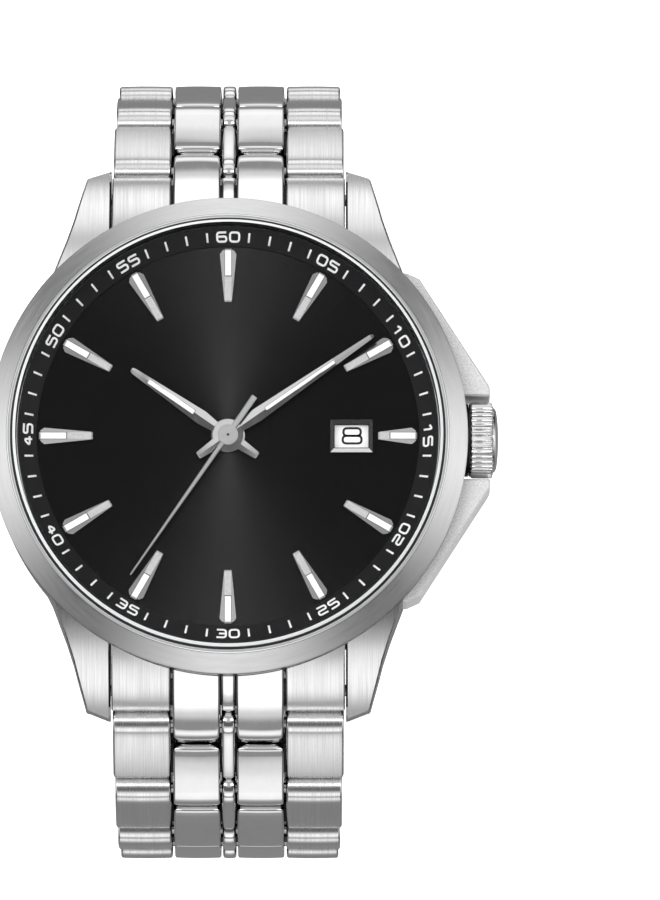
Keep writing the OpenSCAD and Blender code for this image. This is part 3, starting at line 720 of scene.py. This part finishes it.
def faceted_hand(node, angle, z0, boss, bore, length, widest, w_max, w_tip, lume, half, tail):
    """A hand with its boss, a filled strip along the ridge and a broad blunt tail."""
    low, high = z0 + 0.06, z0 + 0.2
    start, stop = lume

    def width(r):
        return w_max + (w_tip - w_max) * (r - widest) / (length - widest)

    def ridge(r, w):
        """The section at a distance r from the centre: two slopes that meet at a ridge."""
        return [(r, -w, z0), (r, -w, low), (r, 0, high), (r, w, low), (r, w, z0)]

    s = Solid()
    stations = [(boss * 0.75, 0.42), (widest, w_max)]
    stations += [(r, width(r)) for r in (start, stop, length - 0.25)] + [(length, w_tip * 0.7)]
    s.rows([ridge(r, w) for r, w in stations])
    s.rows([ridge(r, w) for r, w in ((-boss * 0.7, 0.5), (0.12 - tail, 0.32), (-tail, 0.26))])
    first = len(s.verts)
    s.lathe([(bore, z0), (boss - 0.05, z0), (boss, z0 + 0.02), (boss, high), (boss - 0.04, high),
             (bore, high)], 96)
    for v in s.verts[first:]:
        if v.z > low:
            v.z = z0 + 0.3 - abs(v.y) * 0.26 / boss
    # the fill follows both slopes, and a dark line runs along each side of it
    for side in (1, -1):
        y, y_line = side * half, side * (half + 0.035)
        fill, line = [], []
        for k in range(13):
            r = start + (stop - start) * k / 12
            fall = (high - low) / width(r) * half
            edge, deep = high - fall, high - fall - 0.03
            fill.append([(r, 0, high + 0.014), (r, y, edge + 0.014), (r, y, deep), (r, 0, high - 0.03)])
            line.append([(r, y, edge + 0.008), (r, y_line, high - fall * 1.1 + 0.004),
                         (r, y_line, edge - 0.035), (r, y, deep)])
        s.rows(fill, 1)
        s.rows(line, 2)
    s.box(start - 0.04, start, -half, half, high - 0.1, high + 0.004, 2)
    s.turn(clock(angle))
    s.make(node + "_faceted", [HAND, LUME, BLACK_LINE], node, nodes=[node], slot="marker_metal", sharp=10)


faceted_hand("hour_hand", angle=304.6, z0=8.9, boss=1.43, bore=1.03, length=9.98, widest=2.7, w_max=0.62,
             w_tip=0.25, lume=(3.5, 8.2), half=0.195, tail=3.05)
faceted_hand("minute_hand", angle=55.2, z0=9.22, boss=1.3, bore=0.63, length=15.03, widest=3.0, w_max=0.585,
             w_tip=0.185, lume=(3.9, 11.0), half=0.145, tail=3.1)

SECOND_Z = 9.545  # the underside of the second hand
seconds = Solid()


def needle(stations, shoulder, flat):
    """A bar along the hand: low shoulders beside a flat top that takes a share of its width."""
    top, side = SECOND_Z + 0.125, SECOND_Z + shoulder
    rows = [mirrored(r, [(w * flat, top), (w, side), (w, SECOND_Z)]) for r, w in stations]
    seconds.rows(rows, 0, clock(214.6))


needle(((0.5, 0.19), (6.0, 0.15), (14.45, 0.075), (14.58, 0.03)), 0.07, 0.45)
needle(((-0.5, 0.2), (-1.1, 0.235), (-3.93, 0.262), (-3.98, 0.24)), 0.08, 0.7)
hub = [(0, 0), (0.84, 0), (0.87, 0.03), (0.87, 0.12), (0.83, 0.15), (0.12, 0.16), (0.1, 0.1), (0, 0.1)]
seconds.lathe([(r, SECOND_Z + z) for r, z in hub], 96, tag_of=lambda i: 1 if i >= 5 else 0)
seconds.make("second_hand_needle", [SECOND, DARK_METAL], "second_hand", nodes=["second_hand"],
             slot="marker_metal", sharp=24)

# ---- case

CROWN_Z = 5.85
case = Solid()
case.lathe([
    (16.75, 1.2), (16.95, 1.2), (16.95, 1.7), (17.6, 1.7), (17.6, 1.2), (18.1, 1.2), (18.1, 0.92),
    (18.85, 0.9), (19.0, 0.96), (20.1, 2.08), (20.2, 2.25), (20.2, 8.38), (20.13, 8.45), (19.6, 8.45),
    (19.6, 8.93), (17.95, 8.93), (17.95, 8.62), (16.75, 8.62),
], tag_of=lambda i: 0 if i in (10, 11) else 1)

LUG_IN = 10.03
LUG_ROOT = 19.55  # the lugs run on into the case as far as this radius
# the lug's outer edge, from the case to its tip
LUG_EDGE = [(16.4, 11.4), (15.9, 12.0), (15.45, 12.9), (15.0, 13.8), (14.4, 15.4), (13.8, 17.0),
            (13.5, 17.93), (13.2, 18.85), (12.9, 20.0), (12.57, 21.2), (12.37, 21.9), (12.22, 22.45),
            (12.14, 22.74), (12.02, 22.88)]


def lug_bottom(y):
    return 0.92 if y < 18 else 0.92 - 0.5 * (y - 18) / 6


def lug_row(x_out, y_out, k):
    """A loop round the lug: narrow polished bevel inside, crowned brushed top, softer outer edge."""
    skew = max(0, k - 6) * 0.1  # near the tip the inner side reaches farther
    bevel_in, edge, foot = 0.2, 0.16, 0.15
    width = x_out - LUG_IN

    def at(x, drop=0.0):
        share = (x_out - x) / width
        y = max(y_out + skew * share, sqrt(LUG_ROOT**2 - x * x))
        return (x, y, dome(y, 8.22, -14.05, 23.0) - 0.1 * (share - 0.5) ** 2 - drop)

    loop = [at(LUG_IN, bevel_in), at(LUG_IN + bevel_in * 0.8)]
    loop += [at(LUG_IN + width * part) for part in (0.3, 0.55, 0.8)]
    loop += [at(x_out - edge), at(x_out - edge * 0.3, edge * 0.35), at(x_out, edge)]
    y_far, y_near = at(x_out)[1], at(LUG_IN + foot)[1]
    low_far, low_near = lug_bottom(y_far), lug_bottom(y_near)
    loop += [(x_out, y_far, low_far + foot), (x_out - foot, y_far, low_far)]
    loop += [(LUG_IN + foot, y_near, low_near), (LUG_IN, y_near, low_near + foot)]
    return loop


LUG_TAGS = [1, 3, 3, 3, 3, 3, 3, 2, 1, 2, 1, 2]  # polished bevel, brushed top, brushed flanks
for sx in (1, -1):
    for sy in (1, -1):
        start = len(case.faces)
        case.rows([lug_row(x, y, k) for k, (x, y) in enumerate(LUG_EDGE)], 3, mirror(sx, sy))
        for i in range(start, len(case.faces) - 2):
            case.tags[i] = LUG_TAGS[(i - start) % len(LUG_TAGS)]
        case.tags[-2:] = [2, 2]

GUARD_PLAN = [(14.2, 13.9), (14.6, 14.1), (15.2, 14.1), (16.3, 13.6), (17.9, 11.12), (19.8, 8.17),
              (22.16, 4.52), (22.3, 4.22), (22.3, 3.66), (22.21, 3.57), (18.9, 3.57), (14.5, 8)]
GUARD_LOW, GUARD_HIGH, GUARD_EDGE = 2.4, 7.98, 0.14


def guard_loop(z, inset):
    """The crown guard's plan, drawn in by an inset, at a height."""
    loop = []
    for i, p in enumerate(GUARD_PLAN):
        p, before, after = Vector(p), Vector(GUARD_PLAN[i - 1]), Vector(GUARD_PLAN[i + 1 - len(GUARD_PLAN)])
        d1, d2 = (p - before).normalized(), (after - p).normalized()
        n1, n2 = Vector((d1.y, -d1.x)), Vector((d2.y, -d2.x))
        side = (n1 + n2).normalized()
        x, y = p + side * inset / max(0.5, side.dot(n1))
        loop.append((x, y, z))
    return loop


for sy in (1, -1):
    case.rows([
        guard_loop(GUARD_LOW, GUARD_EDGE), guard_loop(GUARD_LOW + GUARD_EDGE, 0.0),
        guard_loop(GUARD_HIGH - GUARD_EDGE, 0.0), guard_loop(GUARD_HIGH, GUARD_EDGE),
    ], 4, mirror(1, sy))
case.make("case_body", [FLANK, POLISH, FLANK, LUG, GUARD], "head", nodes=["case_middle"],
          slot="brushed_steel", sharp=20)

# ---- crown

RIBS, RIB_STEPS = 36, 8
RIB_LOW, RIB_RISE = 2.86, 0.39  # radius between the ribs, and how far they stand out
crown = Solid()
to_crown = along_x(20.6, 0, CROWN_Z)
rib_rows = []
for z, grow in ((0.0, -0.14), (0.1, -0.03), (0.2, 0.0), (1.72, 0.0), (1.86, -0.07), (1.98, -0.5)):
    loop = []
    for k in range(RIBS * RIB_STEPS):
        rise = abs(sin(pi * (k % RIB_STEPS) / RIB_STEPS)) ** 0.75
        r = RIB_LOW + RIB_RISE * rise + grow * (0.35 + 0.65 * rise)
        loop.append(spoke(r, 2 * pi * k / (RIBS * RIB_STEPS), z))
    rib_rows.append(loop)
crown.rows(rib_rows, 0, to_crown, cap=False)
crown.lathe([
    (1.75, 0.02), (2.62, 0.02), (2.75, 0.12), (2.78, 1.92), (2.74, 2.04), (2.66, 2.12), (2.45, 2.23),
    (1.9, 2.31), (1.2, 2.37), (0.5, 2.395), (0.0, 2.4), (0.0, 2.1), (0.57, 2.1), (0.57, 1.7), (1.75, 1.7),
], 128, 0, to_crown)
# a collar at the crown's foot in painted shade, the dark where shadow falls between crown and case
crown.lathe([(1.75, -0.12), (3.1, -0.12), (3.1, 0.05), (1.75, 0.05)], 96, 1, to_crown)
crown.make("crown_knurled", [CROWN, PAINTED_SHADE], "crown", nodes=["crown"], slot="polished_steel", sharp=30)

tube = Solid()
# the flange under the bezel gets painted shade, dark where shadow falls beside the crown
tube.lathe([
    (0.76, 16.7), (1.25, 16.7), (1.25, 20.01), (3.06, 20.01), (3.1, 20.05), (3.1, 20.4), (3.05, 20.45),
    (1.25, 20.45), (1.25, 21.9), (1.18, 21.99), (0.84, 21.99), (0.76, 21.9),
], 96, move=along_x(0, 0, CROWN_Z), tag_of=lambda i: 1 if 2 <= i <= 6 else 0)
for v in tube.verts:
    v.z = min(v.z, 8.39)  # the flange is cut flat under the bezel
tube.make("crown_sleeve", [SATIN, PAINTED_SHADE], "head", nodes=["crown_tube"], slot="polished_steel", sharp=30)

# ---- bracelet

# half a link's thickness, pin to pin, and how far short of the next pin a bar ends
LINK_R, PITCH, CLEAR = 1.6, 7.2, 1.85
# across it: half the centre bar, the two sides of the polished one and the start of the outer one
CENTRE_W, MID_IN, MID_OUT, OUTER_IN = 0.57, 0.72, 4.72, 4.93
PIN_R, CROSS_PIN_R, HEAD_R = 0.54, 0.39, 0.5
PIN_SHORT = 0.4  # how far the pin stops inside the link's side
BULGE = 0.05  # how far the middle of a bar stands above its sides
# the last is painted shade, for the gap faces and the core
BRACELET = [LONGWAYS, LINK_POLISH, SATIN, PAINTED_SHADE]


def fillet(r, d):
    """How far a rounded edge falls back at a distance d from the side."""
    return 0.0 if d >= r else r - sqrt(max(0.0, r * r - (r - d) ** 2))


def arc(x, y, r, angles):
    return [(x + r * cos(radians(a)), y + r * sin(radians(a))) for a in angles]


def across(solid, x0, x1, outline, corner, skin, tag, move=None, gaps=()):
    """A bar across the bracelet. Its loop, outline(end, skin, x), shrinks near both sides: by end where
    the corners round off in plan, and by skin where the edges do. Side faces in gaps get painted shade."""
    offsets = {skin * t for t in (0, 0.12, 0.3, 0.6, 1)} | {corner * t for t in (0.25, 0.45, 0.7, 1)}
    width = x1 - x0
    spread = [o for o in sorted(offsets) if o < width / 2 - 0.02]
    a, b = x0 + spread[-1], x1 - spread[-1]
    xs = [(x0 + o, o) for o in spread]
    xs += [(a + (b - a) * k / 5, width) for k in range(1, 5)]
    xs += [(x1 - o, o) for o in reversed(spread)]
    rows = []
    for x, d in xs:
        u = 2 * (x - x0) / width - 1
        loop = outline(fillet(corner, d), fillet(skin, d) + BULGE * u * u, x)
        rows.append([(x, y, z) for y, z in loop])
    solid.rows(rows, tag, move)
    for end in gaps:
        solid.tags[end] = 3


def bar(crown, edge):
    """A link's bar: round at its pin, square at its far end, with a gently crowned top."""

    def loop(end, skin, x):
        r = LINK_R - skin
        far = PITCH - CLEAR - end
        length = far - edge
        pts = arc(0, 0, r, range(90, 271, 15)) + [(far * 0.4, -r), (length, -r)]
        pts += arc(length, edge - r, edge, (-60, -30, 0))
        pts += arc(length, r - crown - edge, edge, (0, 22, 45, 68, 90))
        return pts + [(length * t, r - crown * t**2) for t in (0.88, 0.75, 0.6, 0.45, 0.3, 0.15)]

    return loop


def mid_bar(end, skin, x):
    """The polished link is such a bar turned round: its round end is at the next pin."""
    return [(PITCH - u, v) for u, v in bar(0.20, 0.26)(end, skin, x)][::-1]


def rod(solid, r, half, steps, place, y=0):
    """A round bar across the link, with its axis at a distance y from the pin."""
    solid.lathe([(0, -half), (r, -half), (r, half), (0, half)], steps, 2, place @ along_x(0, y, 0))


def link_piece(name, pin, slope, side, half, last):
    """side is 1 towards 12 o'clock and -1 towards 6."""
    place = mirror(1, side) @ Matrix.Translation((0, *pin)) @ Matrix.Rotation(radians(-slope), 4, "X")
    s = Solid()
    for m in (1, -1):
        flip = place @ mirror(m)
        across(s, OUTER_IN, half, bar(0.42, 0.3), 0.24, 0.2, 0, flip, (-2,))
        across(s, MID_IN, MID_OUT, mid_bar, 0.28, 0.17, 1, flip, (-2, -1))
        # the pin's slotted head in the side of the link
        head = [(0, half - PIN_SHORT), (HEAD_R, half - PIN_SHORT), (HEAD_R, half - 0.02), (0.44, half),
                (0.12, half), (0, half - 0.05)]
        s.lathe(head, 24, 2, flip @ along_x(0, 0, 0))
    across(s, -CENTRE_W, CENTRE_W, bar(0.30, 0.36), 0.2, 0.2, 1, place, (-2, -1))
    # the core that joins the five, in painted shade where it shows through the gaps
    s.rows([[(x, 2.0, -1.0), (x, 5.2, -1.0), (x, 5.2, 0.5), (x, 2.0, 0.5)] for x in (-5.2, 5.2)], 3, place)
    rod(s, PIN_R, half - PIN_SHORT, 24, place)
    rod(s, CROSS_PIN_R, half - 0.6, 16, place, PITCH / 2)
    if last:
        rod(s, PIN_R, MID_OUT - 0.02, 24, place, PITCH)
    s.make(name + "_assembled", BRACELET, name, nodes=[name], slot="bracelet_steel", sharp=40)


SIDES = ((1, "12"), (-1, "6"))
FIRST_SLOPE, SLOPE_STEP = 46, 20.8  # how steep the links hang, in degrees
HALF_W, TAPER = 9.85, 0.15  # half width of the first link, and how much each next one loses
for side, tag in SIDES:
    for i in range(6):
        name = "link_%s_%d" % (tag, i + 1)
        x, y, z = JOINTS[name + "_hinge"]["pos_m"]
        slope, half = FIRST_SLOPE + SLOPE_STEP * i, HALF_W - TAPER * i
        link_piece(name, (abs(y) / MM, z / MM), slope, side, half, name == "link_12_6")

# end links: five bars between the lugs, hollowed where the case passes
PIN_1 = Vector((23.65, 1.45))  # the first hinge, in Y and Z
END_SLOPE = 35
OUT = Vector((cos(radians(END_SLOPE)), -sin(radians(END_SLOPE))))
UP = Vector((sin(radians(END_SLOPE)), cos(radians(END_SLOPE))))
STOP = PIN_1 - CLEAR * OUT  # the middle of the square ends
END_LOW = 1.2
HOLLOW_R = 20.24  # just outside the case

LEAN = 41.4  # the polished top runs into its round end at this slope
LEAN_OUT = Vector((sin(radians(LEAN)), cos(radians(LEAN))))
MEET = PIN_1 + LINK_R * LEAN_OUT
TOP_R = 26.0
TOP_AT = MEET - TOP_R * LEAN_OUT


def top_line(y_far, y_in, skin, *arc_of_top):
    """Nine points along the top, from the far end in to the case."""
    ys = [y_far + (y_in - y_far) * k / 8 for k in range(9)]
    return [(y, dome(y, *arc_of_top) - skin) for y in ys]


def long_end(end, skin, x):
    """The polished bars reach out to the first pin and end round."""
    y_in = sqrt(HOLLOW_R**2 - x * x)
    c = PIN_1 - OUT * end * 0.75
    sweep = 180 + END_SLOPE - LEAN
    angles = [270 - END_SLOPE + sweep * k / 13 for k in range(14)]
    pts = [(y_in, END_LOW + skin), (21.3, END_LOW + skin * 0.5)]
    pts += arc(c.x, c.y, LINK_R - skin - end * 0.35, angles)
    return pts + top_line(MEET.x - 0.3 - end, y_in, skin, *TOP_AT, TOP_R)


def short_end(end, skin, x):
    """The brushed bars and the centre one end square, short of the first pin."""
    y_in = sqrt(HOLLOW_R**2 - x * x)
    low, high = STOP - UP * LINK_R - OUT * end, STOP + UP * LINK_R - OUT * end
    pts = [(y_in, END_LOW + skin), (low.x - 0.25, END_LOW + skin)]
    pts.append(tuple(low + UP * 0.25))
    for down, back in ((0.3, 0), (0.16, 0.02), (0.07, 0.09), (skin, 0.22)):
        pts.append(tuple(high - UP * down - OUT * back))
    return pts + top_line(high.x - 0.45, y_in, skin, 12.34, -8.07, 16.0)


for side, tag in SIDES:
    s = Solid()
    place = mirror(1, side)
    for m in (1, -1):
        across(s, OUTER_IN, 9.95, short_end, 0.2, 0.16, 0, mirror(m, side), (-2, -1))
        across(s, MID_IN, MID_OUT, long_end, 0.28, 0.16, 1, mirror(m, side), (-2, -1))
    across(s, -CENTRE_W, CENTRE_W, short_end, 0.2, 0.16, 1, place, (-2, -1))
    # the block under the grooves that joins the five, in painted shade where it shows through them
    block = [(20.3, 1.35), (21.3, 1.35), (22.4, 3.1), (22.3, 3.7), (21.4, 4.5), (20.3, 5.0)]
    s.rows([[(x, y, z) for y, z in block] for x in (-9.8, 9.8)], 3, place)
    name = "end_link_" + tag
    s.make(name + "_assembled", BRACELET, "head", nodes=[name], slot="bracelet_steel", sharp=40)

# ---- clasp

CLASP_ZC, CLASP_R = 23.449, 60.0  # the height of its curve's centre, and the radius through its pins
COVER_IN, COVER_OUT, COVER_W, WALL_W = 60.9, 61.9, 9.15, 8.2
COVER_A0, COVER_A1, PIN_A = -14.24, 16.33, 18.19  # where the cover starts and ends, and its pin, in degrees
EAR_X, EAR_R = 5.0, 1.35


def clasp_at(r, a):
    """A point of the clasp's curve, in Y and Z; a is counted from straight down, positive to 12 o'clock."""
    t = radians(a)
    return (r * sin(t), CLASP_ZC - r * cos(t))


def bent(r_in, r_out, a0, a1, steps=24):
    def loop(end, skin, x):
        back = degrees(end / CLASP_R)
        lo, hi = a0 + back, a1 - back
        angles = [lo + (hi - lo) * k / steps for k in range(steps + 1)]
        inside = [clasp_at(r_in + skin, a) for a in angles]
        return inside + [clasp_at(r_out - skin, a) for a in reversed(angles)]

    return loop


def cover_loop(end, skin, x):
    """Only the outside falls away towards the sides."""
    loop = bent(COVER_IN, COVER_OUT, COVER_A0, COVER_A1, 40)(end, 0.0, x)
    return loop[:41] + [(y, z + skin * 0.9) for y, z in loop[41:]]


s = Solid()
across(s, -COVER_W, COVER_W, cover_loop, 0.9, 0.3, 0)
ear = [(0.6, EAR_X), (EAR_R - 0.1, EAR_X), (EAR_R, EAR_X + 0.1), (EAR_R, COVER_W - 0.12),
       (EAR_R - 0.12, COVER_W), (0.6, COVER_W)]
for m in (1, -1):
    flip = mirror(m)
    across(s, WALL_W, COVER_W, bent(59.0, 61.5, COVER_A0, COVER_A1), 0.3, 0.12, 0, flip)
    across(s, WALL_W, COVER_W, bent(58.42, 60.5, -2.4, 2.4, 8), 0.3, 0.12, 0, flip)
    across(s, EAR_X, COVER_W, bent(60.0, 61.85, COVER_A1 - 1, PIN_A - 0.38, 6), 0.2, 0.15, 0, flip)
    s.lathe(ear, 48, 1, flip @ along_x(0, *clasp_at(CLASP_R, PIN_A)))
    # two polished lines run along the cover, in line with the polished links
    across(s, 2.5, 3.1, bent(61.7, 61.93, COVER_A0 + 1.2, COVER_A1 - 1.2, 40), 0.15, 0.06, 1, flip)
s.make("clasp_cover_shell", [LONGWAYS, LINK_POLISH], "clasp_cover", nodes=["clasp_cover"],
       slot="brushed_steel", sharp=40)

CAP = [(0, 8.1), (1.08, 8.1), (1.08, 9.66), (1.02, 9.79), (0.9, 9.87), (0.72, 9.9), (0.6, 9.84), (0.3, 9.8),
       (0, 9.79)]
STEM = [(0, 8.05), (0.6, 8.05), (0.6, 8.15), (0, 8.15)]
for m, tag in ((-1, "left"), (1, "right")):
    s = Solid()
    place = mirror(m) @ along_x(0, *clasp_at(60.2, 0))
    s.lathe(CAP, 64, 0, place)
    s.lathe(STEM, 32, 0, place)
    name = "clasp_button_" + tag
    s.make("button_%s_cap" % tag, [POLISH], name, nodes=[name], slot="polished_steel", sharp=40)

# ---- case back

NOTCHES = 6
NOTCH_HALF = 3.85  # half width of a notch, in degrees
NOTCH_Z, RIM_Z = 0.85, 0.37  # the underside of the outer ring, in the notches and between them
columns = []
for k in range(NOTCHES):
    for off in (-30, -24, -18, -12, -7, -NOTCH_HALF - 0.08, -NOTCH_HALF, -1.9,
                0, 1.9, NOTCH_HALF, NOTCH_HALF + 0.08, 7, 12, 18, 24):
        low = NOTCH_Z if abs(off) <= NOTCH_HALF else RIM_Z
        profile = [
            (0.001, 0.0), (9.0, 0.0), (9.08, 0.07), (9.16, 0.0), (13.6, 0.0), (13.68, 0.08), (13.8, 0.08),
            (13.88, 0.0), (15.4, 0.0), (15.55, 0.03), (16.15, 0.34), (16.85, 0.36), (16.9, low),
            (17.9, low), (18.0, low + 0.08), (18.0, 1.18), (16.7, 1.18), (16.7, 2.48), (15.6, 2.48),
            (15.6, 1.0), (0.001, 1.0),
        ]
        a = radians(k * 360 / NOTCHES + off)
        columns.append([spoke(r, a, z) for r, z in profile])
back = Solid()
back.rows(columns + columns[:1], cap=False)
back.tags = [1 if i % len(columns[0]) in (8, 9, 10, 12, 13, 14) else 0 for i in range(len(back.faces))]
back.make("case_back_turned", [BACK, POLISH], "head", nodes=["case_back"], slot="polished_steel", sharp=18)

# ---- the CAD nodes that stay

KEPT = {
    DIAL: ["dial"], PEARLED: ["main_plate"], NICKEL: ["rotor_bearing"], HOLDER: ["movement_holder"],
    STRIPES: ["train_bridge", "balance_cock", "rotor"], BLUED: ["bridge_screws", "hairspring"],
    BRASS: ["barrel", "great_wheel", "third_wheel", "fourth_wheel", "balance_wheel", "minute_wheel",
            "hour_wheel"],
    SATIN: ["escape_wheel", "pallet_fork", "cannon_pinion", "setting_lever", "winding_stem", "spring_bars"],
    RUBBER: ["crown_gasket", "case_back_gasket"], POLISH: ["cover_pin", "blade_pin"],
    LONGWAYS: ["clasp_blade_short", "clasp_blade_long"],
}
for mat, names in KEPT.items():
    for name in names:
        NODES[name].data.materials.clear()
        NODES[name].data.materials.append(mat)

# ---- stage, light and camera

paper = Shade("floor_paper", grey(0.90), 0.0, 0.6, Emission_Color=(1, 1, 1, 1), Emission_Strength=0.6)
paper.tint(paper.spread(paper.noise(paper.place, scale=60.0, detail=2.0), 0, 1), grey(0.89), grey(0.91))
mesh = bpy.data.meshes.new("floor")
FLOOR_HALF, FLOOR_GAP = 2.5, 0.00005
floor_z = CAD_BOX[0].z - FLOOR_GAP
corners = [(x * FLOOR_HALF, y * FLOOR_HALF, floor_z) for x, y in ((-1, -1), (1, -1), (1, 1), (-1, 1))]
mesh.from_pydata(corners, [], [[0, 1, 2, 3]])
mesh.materials.append(paper.mat)
floor = add_object("floor", mesh)
floor.visible_glossy = False


class Sky(Nodes):
    """The studio's light, as a brightness for each direction."""

    def ramp(self, source, stops):
        n = self.node("ShaderNodeValToRGB")
        n.color_ramp.interpolation = "EASE"
        while len(n.color_ramp.elements) < len(stops):
            n.color_ramp.elements.new(0.5)
        for element, (at, value) in zip(n.color_ramp.elements, stops):
            element.position = at
            element.color = (value, value, value, 1)
        self.put(n.inputs[0], source)
        return n.outputs[0]

    def tilted(self, angle):
        """The direction as three numbers, turned about X."""
        n = self.node("ShaderNodeVectorRotate", rotation_type="X_AXIS")
        self.feed(n, Vector=self.node("ShaderNodeTexCoord").outputs["Generated"], Angle=radians(angle))
        return self.axes(n.outputs[0])


world = bpy.data.worlds.new("studio")
SCENE.world = world
world.use_nodes = True
sky = Sky(world.node_tree)
# the light is centred on the direction that the flat dial mirrors towards the camera
x, y, z = sky.tilted(7.5)
# by cosine, from the centre outwards (the last stop first): a soft lamp, a dark ring, a bright one,
# a thin dark one, another bright one and a dim skirt
height = sky.ramp(sky.plus(sky.times(z, 0.5), 0.5), [
    (0.0, 0.25), (0.18, 0.25), (0.28, 0.40), (0.34, 0.75), (0.40, 1.05), (0.455, 1.15), (0.50, 1.05),
    (0.525, 0.80), (0.552, 0.30), (0.59, 0.30), (0.622, 0.75), (0.66, 1.30), (0.72, 1.32), (0.787, 1.10),
    (0.847, 0.50), (0.894, 0.12), (0.97, 0.12), (0.989, 0.50), (1.0, 0.55),
])
# four soft boxes stand round it, with darker gaps between them
diagonal = sky.times(sky.times(x, x), sky.times(y, y))
four = sky.math("MAXIMUM", sky.math("SUBTRACT", 1.0, sky.times(diagonal, 4.5)), 0.0)
# one more box beyond 12 o'clock lightens that side of the first dark ring
ring = sky.ramp(z, [(0.70, 0.0), (0.78, 1.0), (0.93, 1.0), (0.97, 0.0)])
lean = sky.math("MAXIMUM", sky.math("MINIMUM", sky.plus(0.22, sky.times(y, 2.2)), 1.0), 0.0)
box_at_12 = sky.times(sky.times(ring, lean), 0.85)
# a narrow tube from left to right draws the streak on the brushed dial
across_y = sky.ramp(sky.math("ABSOLUTE", y), [(0.0, 1.0), (0.04, 1.0), (0.13, 0.0)])
along = sky.ramp(sky.math("ABSOLUTE", x), [(0.06, 0.0), (0.16, 1.0), (0.55, 1.0), (0.75, 0.0)])
tube_light = sky.times(sky.times(across_y, along), sky.times(sky.math("GREATER_THAN", z, 0.0), 4.0))
light = sky.plus(sky.times(height, four), sky.plus(tube_light, box_at_12))
sky.feed(world.node_tree.nodes["Background"], Color=(1, 1, 1, 1), Strength=light)


def soft_box(name, azimuth, elevation, distance, size, power):
    """Azimuth counts clockwise from 12 o'clock, as seen from above."""
    a, e = radians(90 - azimuth), radians(elevation)
    light = bpy.data.lights.new(name, "AREA")
    light.shape = "RECTANGLE"
    light.size, light.size_y = size
    light.energy = power
    obj = add_object(name, light)
    spot = Vector((cos(a) * cos(e), sin(a) * cos(e), sin(e)))
    obj.location = spot * distance
    obj.rotation_mode = "QUATERNION"
    obj.rotation_quaternion = spot.to_track_quat("Z", "Y")
    obj.visible_glossy = False


soft_box("box_left", 270, 48, 0.9, (0.5, 0.35), 3.2)
soft_box("box_right", 90, 44, 0.9, (0.45, 0.3), 1.8)
soft_box("box_top", 0, 40, 1.0, (0.6, 0.3), 1.8)
soft_box("box_bottom", 180, 42, 1.0, (0.5, 0.25), 1.4)

SCENE.view_settings.view_transform = "Standard"
SCENE.view_settings.look = "None"
SCENE.view_settings.exposure = 0.0

ELEVATION = radians(82.5)
SPAN = 0.0765  # height of the frame at the dial
DISTANCE = 1.2
SHIFT_X, SHIFT_UP, AIM_Z = 0.00867, -0.00123, 0.009  # where the camera aims, past the watch's own centre
SENSOR = 36.0
look = Vector((0, cos(ELEVATION), -sin(ELEVATION)))
up = Vector((0, sin(ELEVATION), cos(ELEVATION)))
target = Vector((SHIFT_X, 0, AIM_Z)) + up * SHIFT_UP
camera_data = bpy.data.cameras.new("camera")
camera_data.sensor_width = SENSOR
camera_data.lens = SENSOR * DISTANCE / SPAN
camera_data.clip_start, camera_data.clip_end = 0.05, 20.0
camera = add_object("camera", camera_data)
camera.location = target - look * DISTANCE
camera.rotation_mode = "QUATERNION"
camera.rotation_quaternion = look.to_track_quat("-Z", "Y")
SCENE.camera = camera
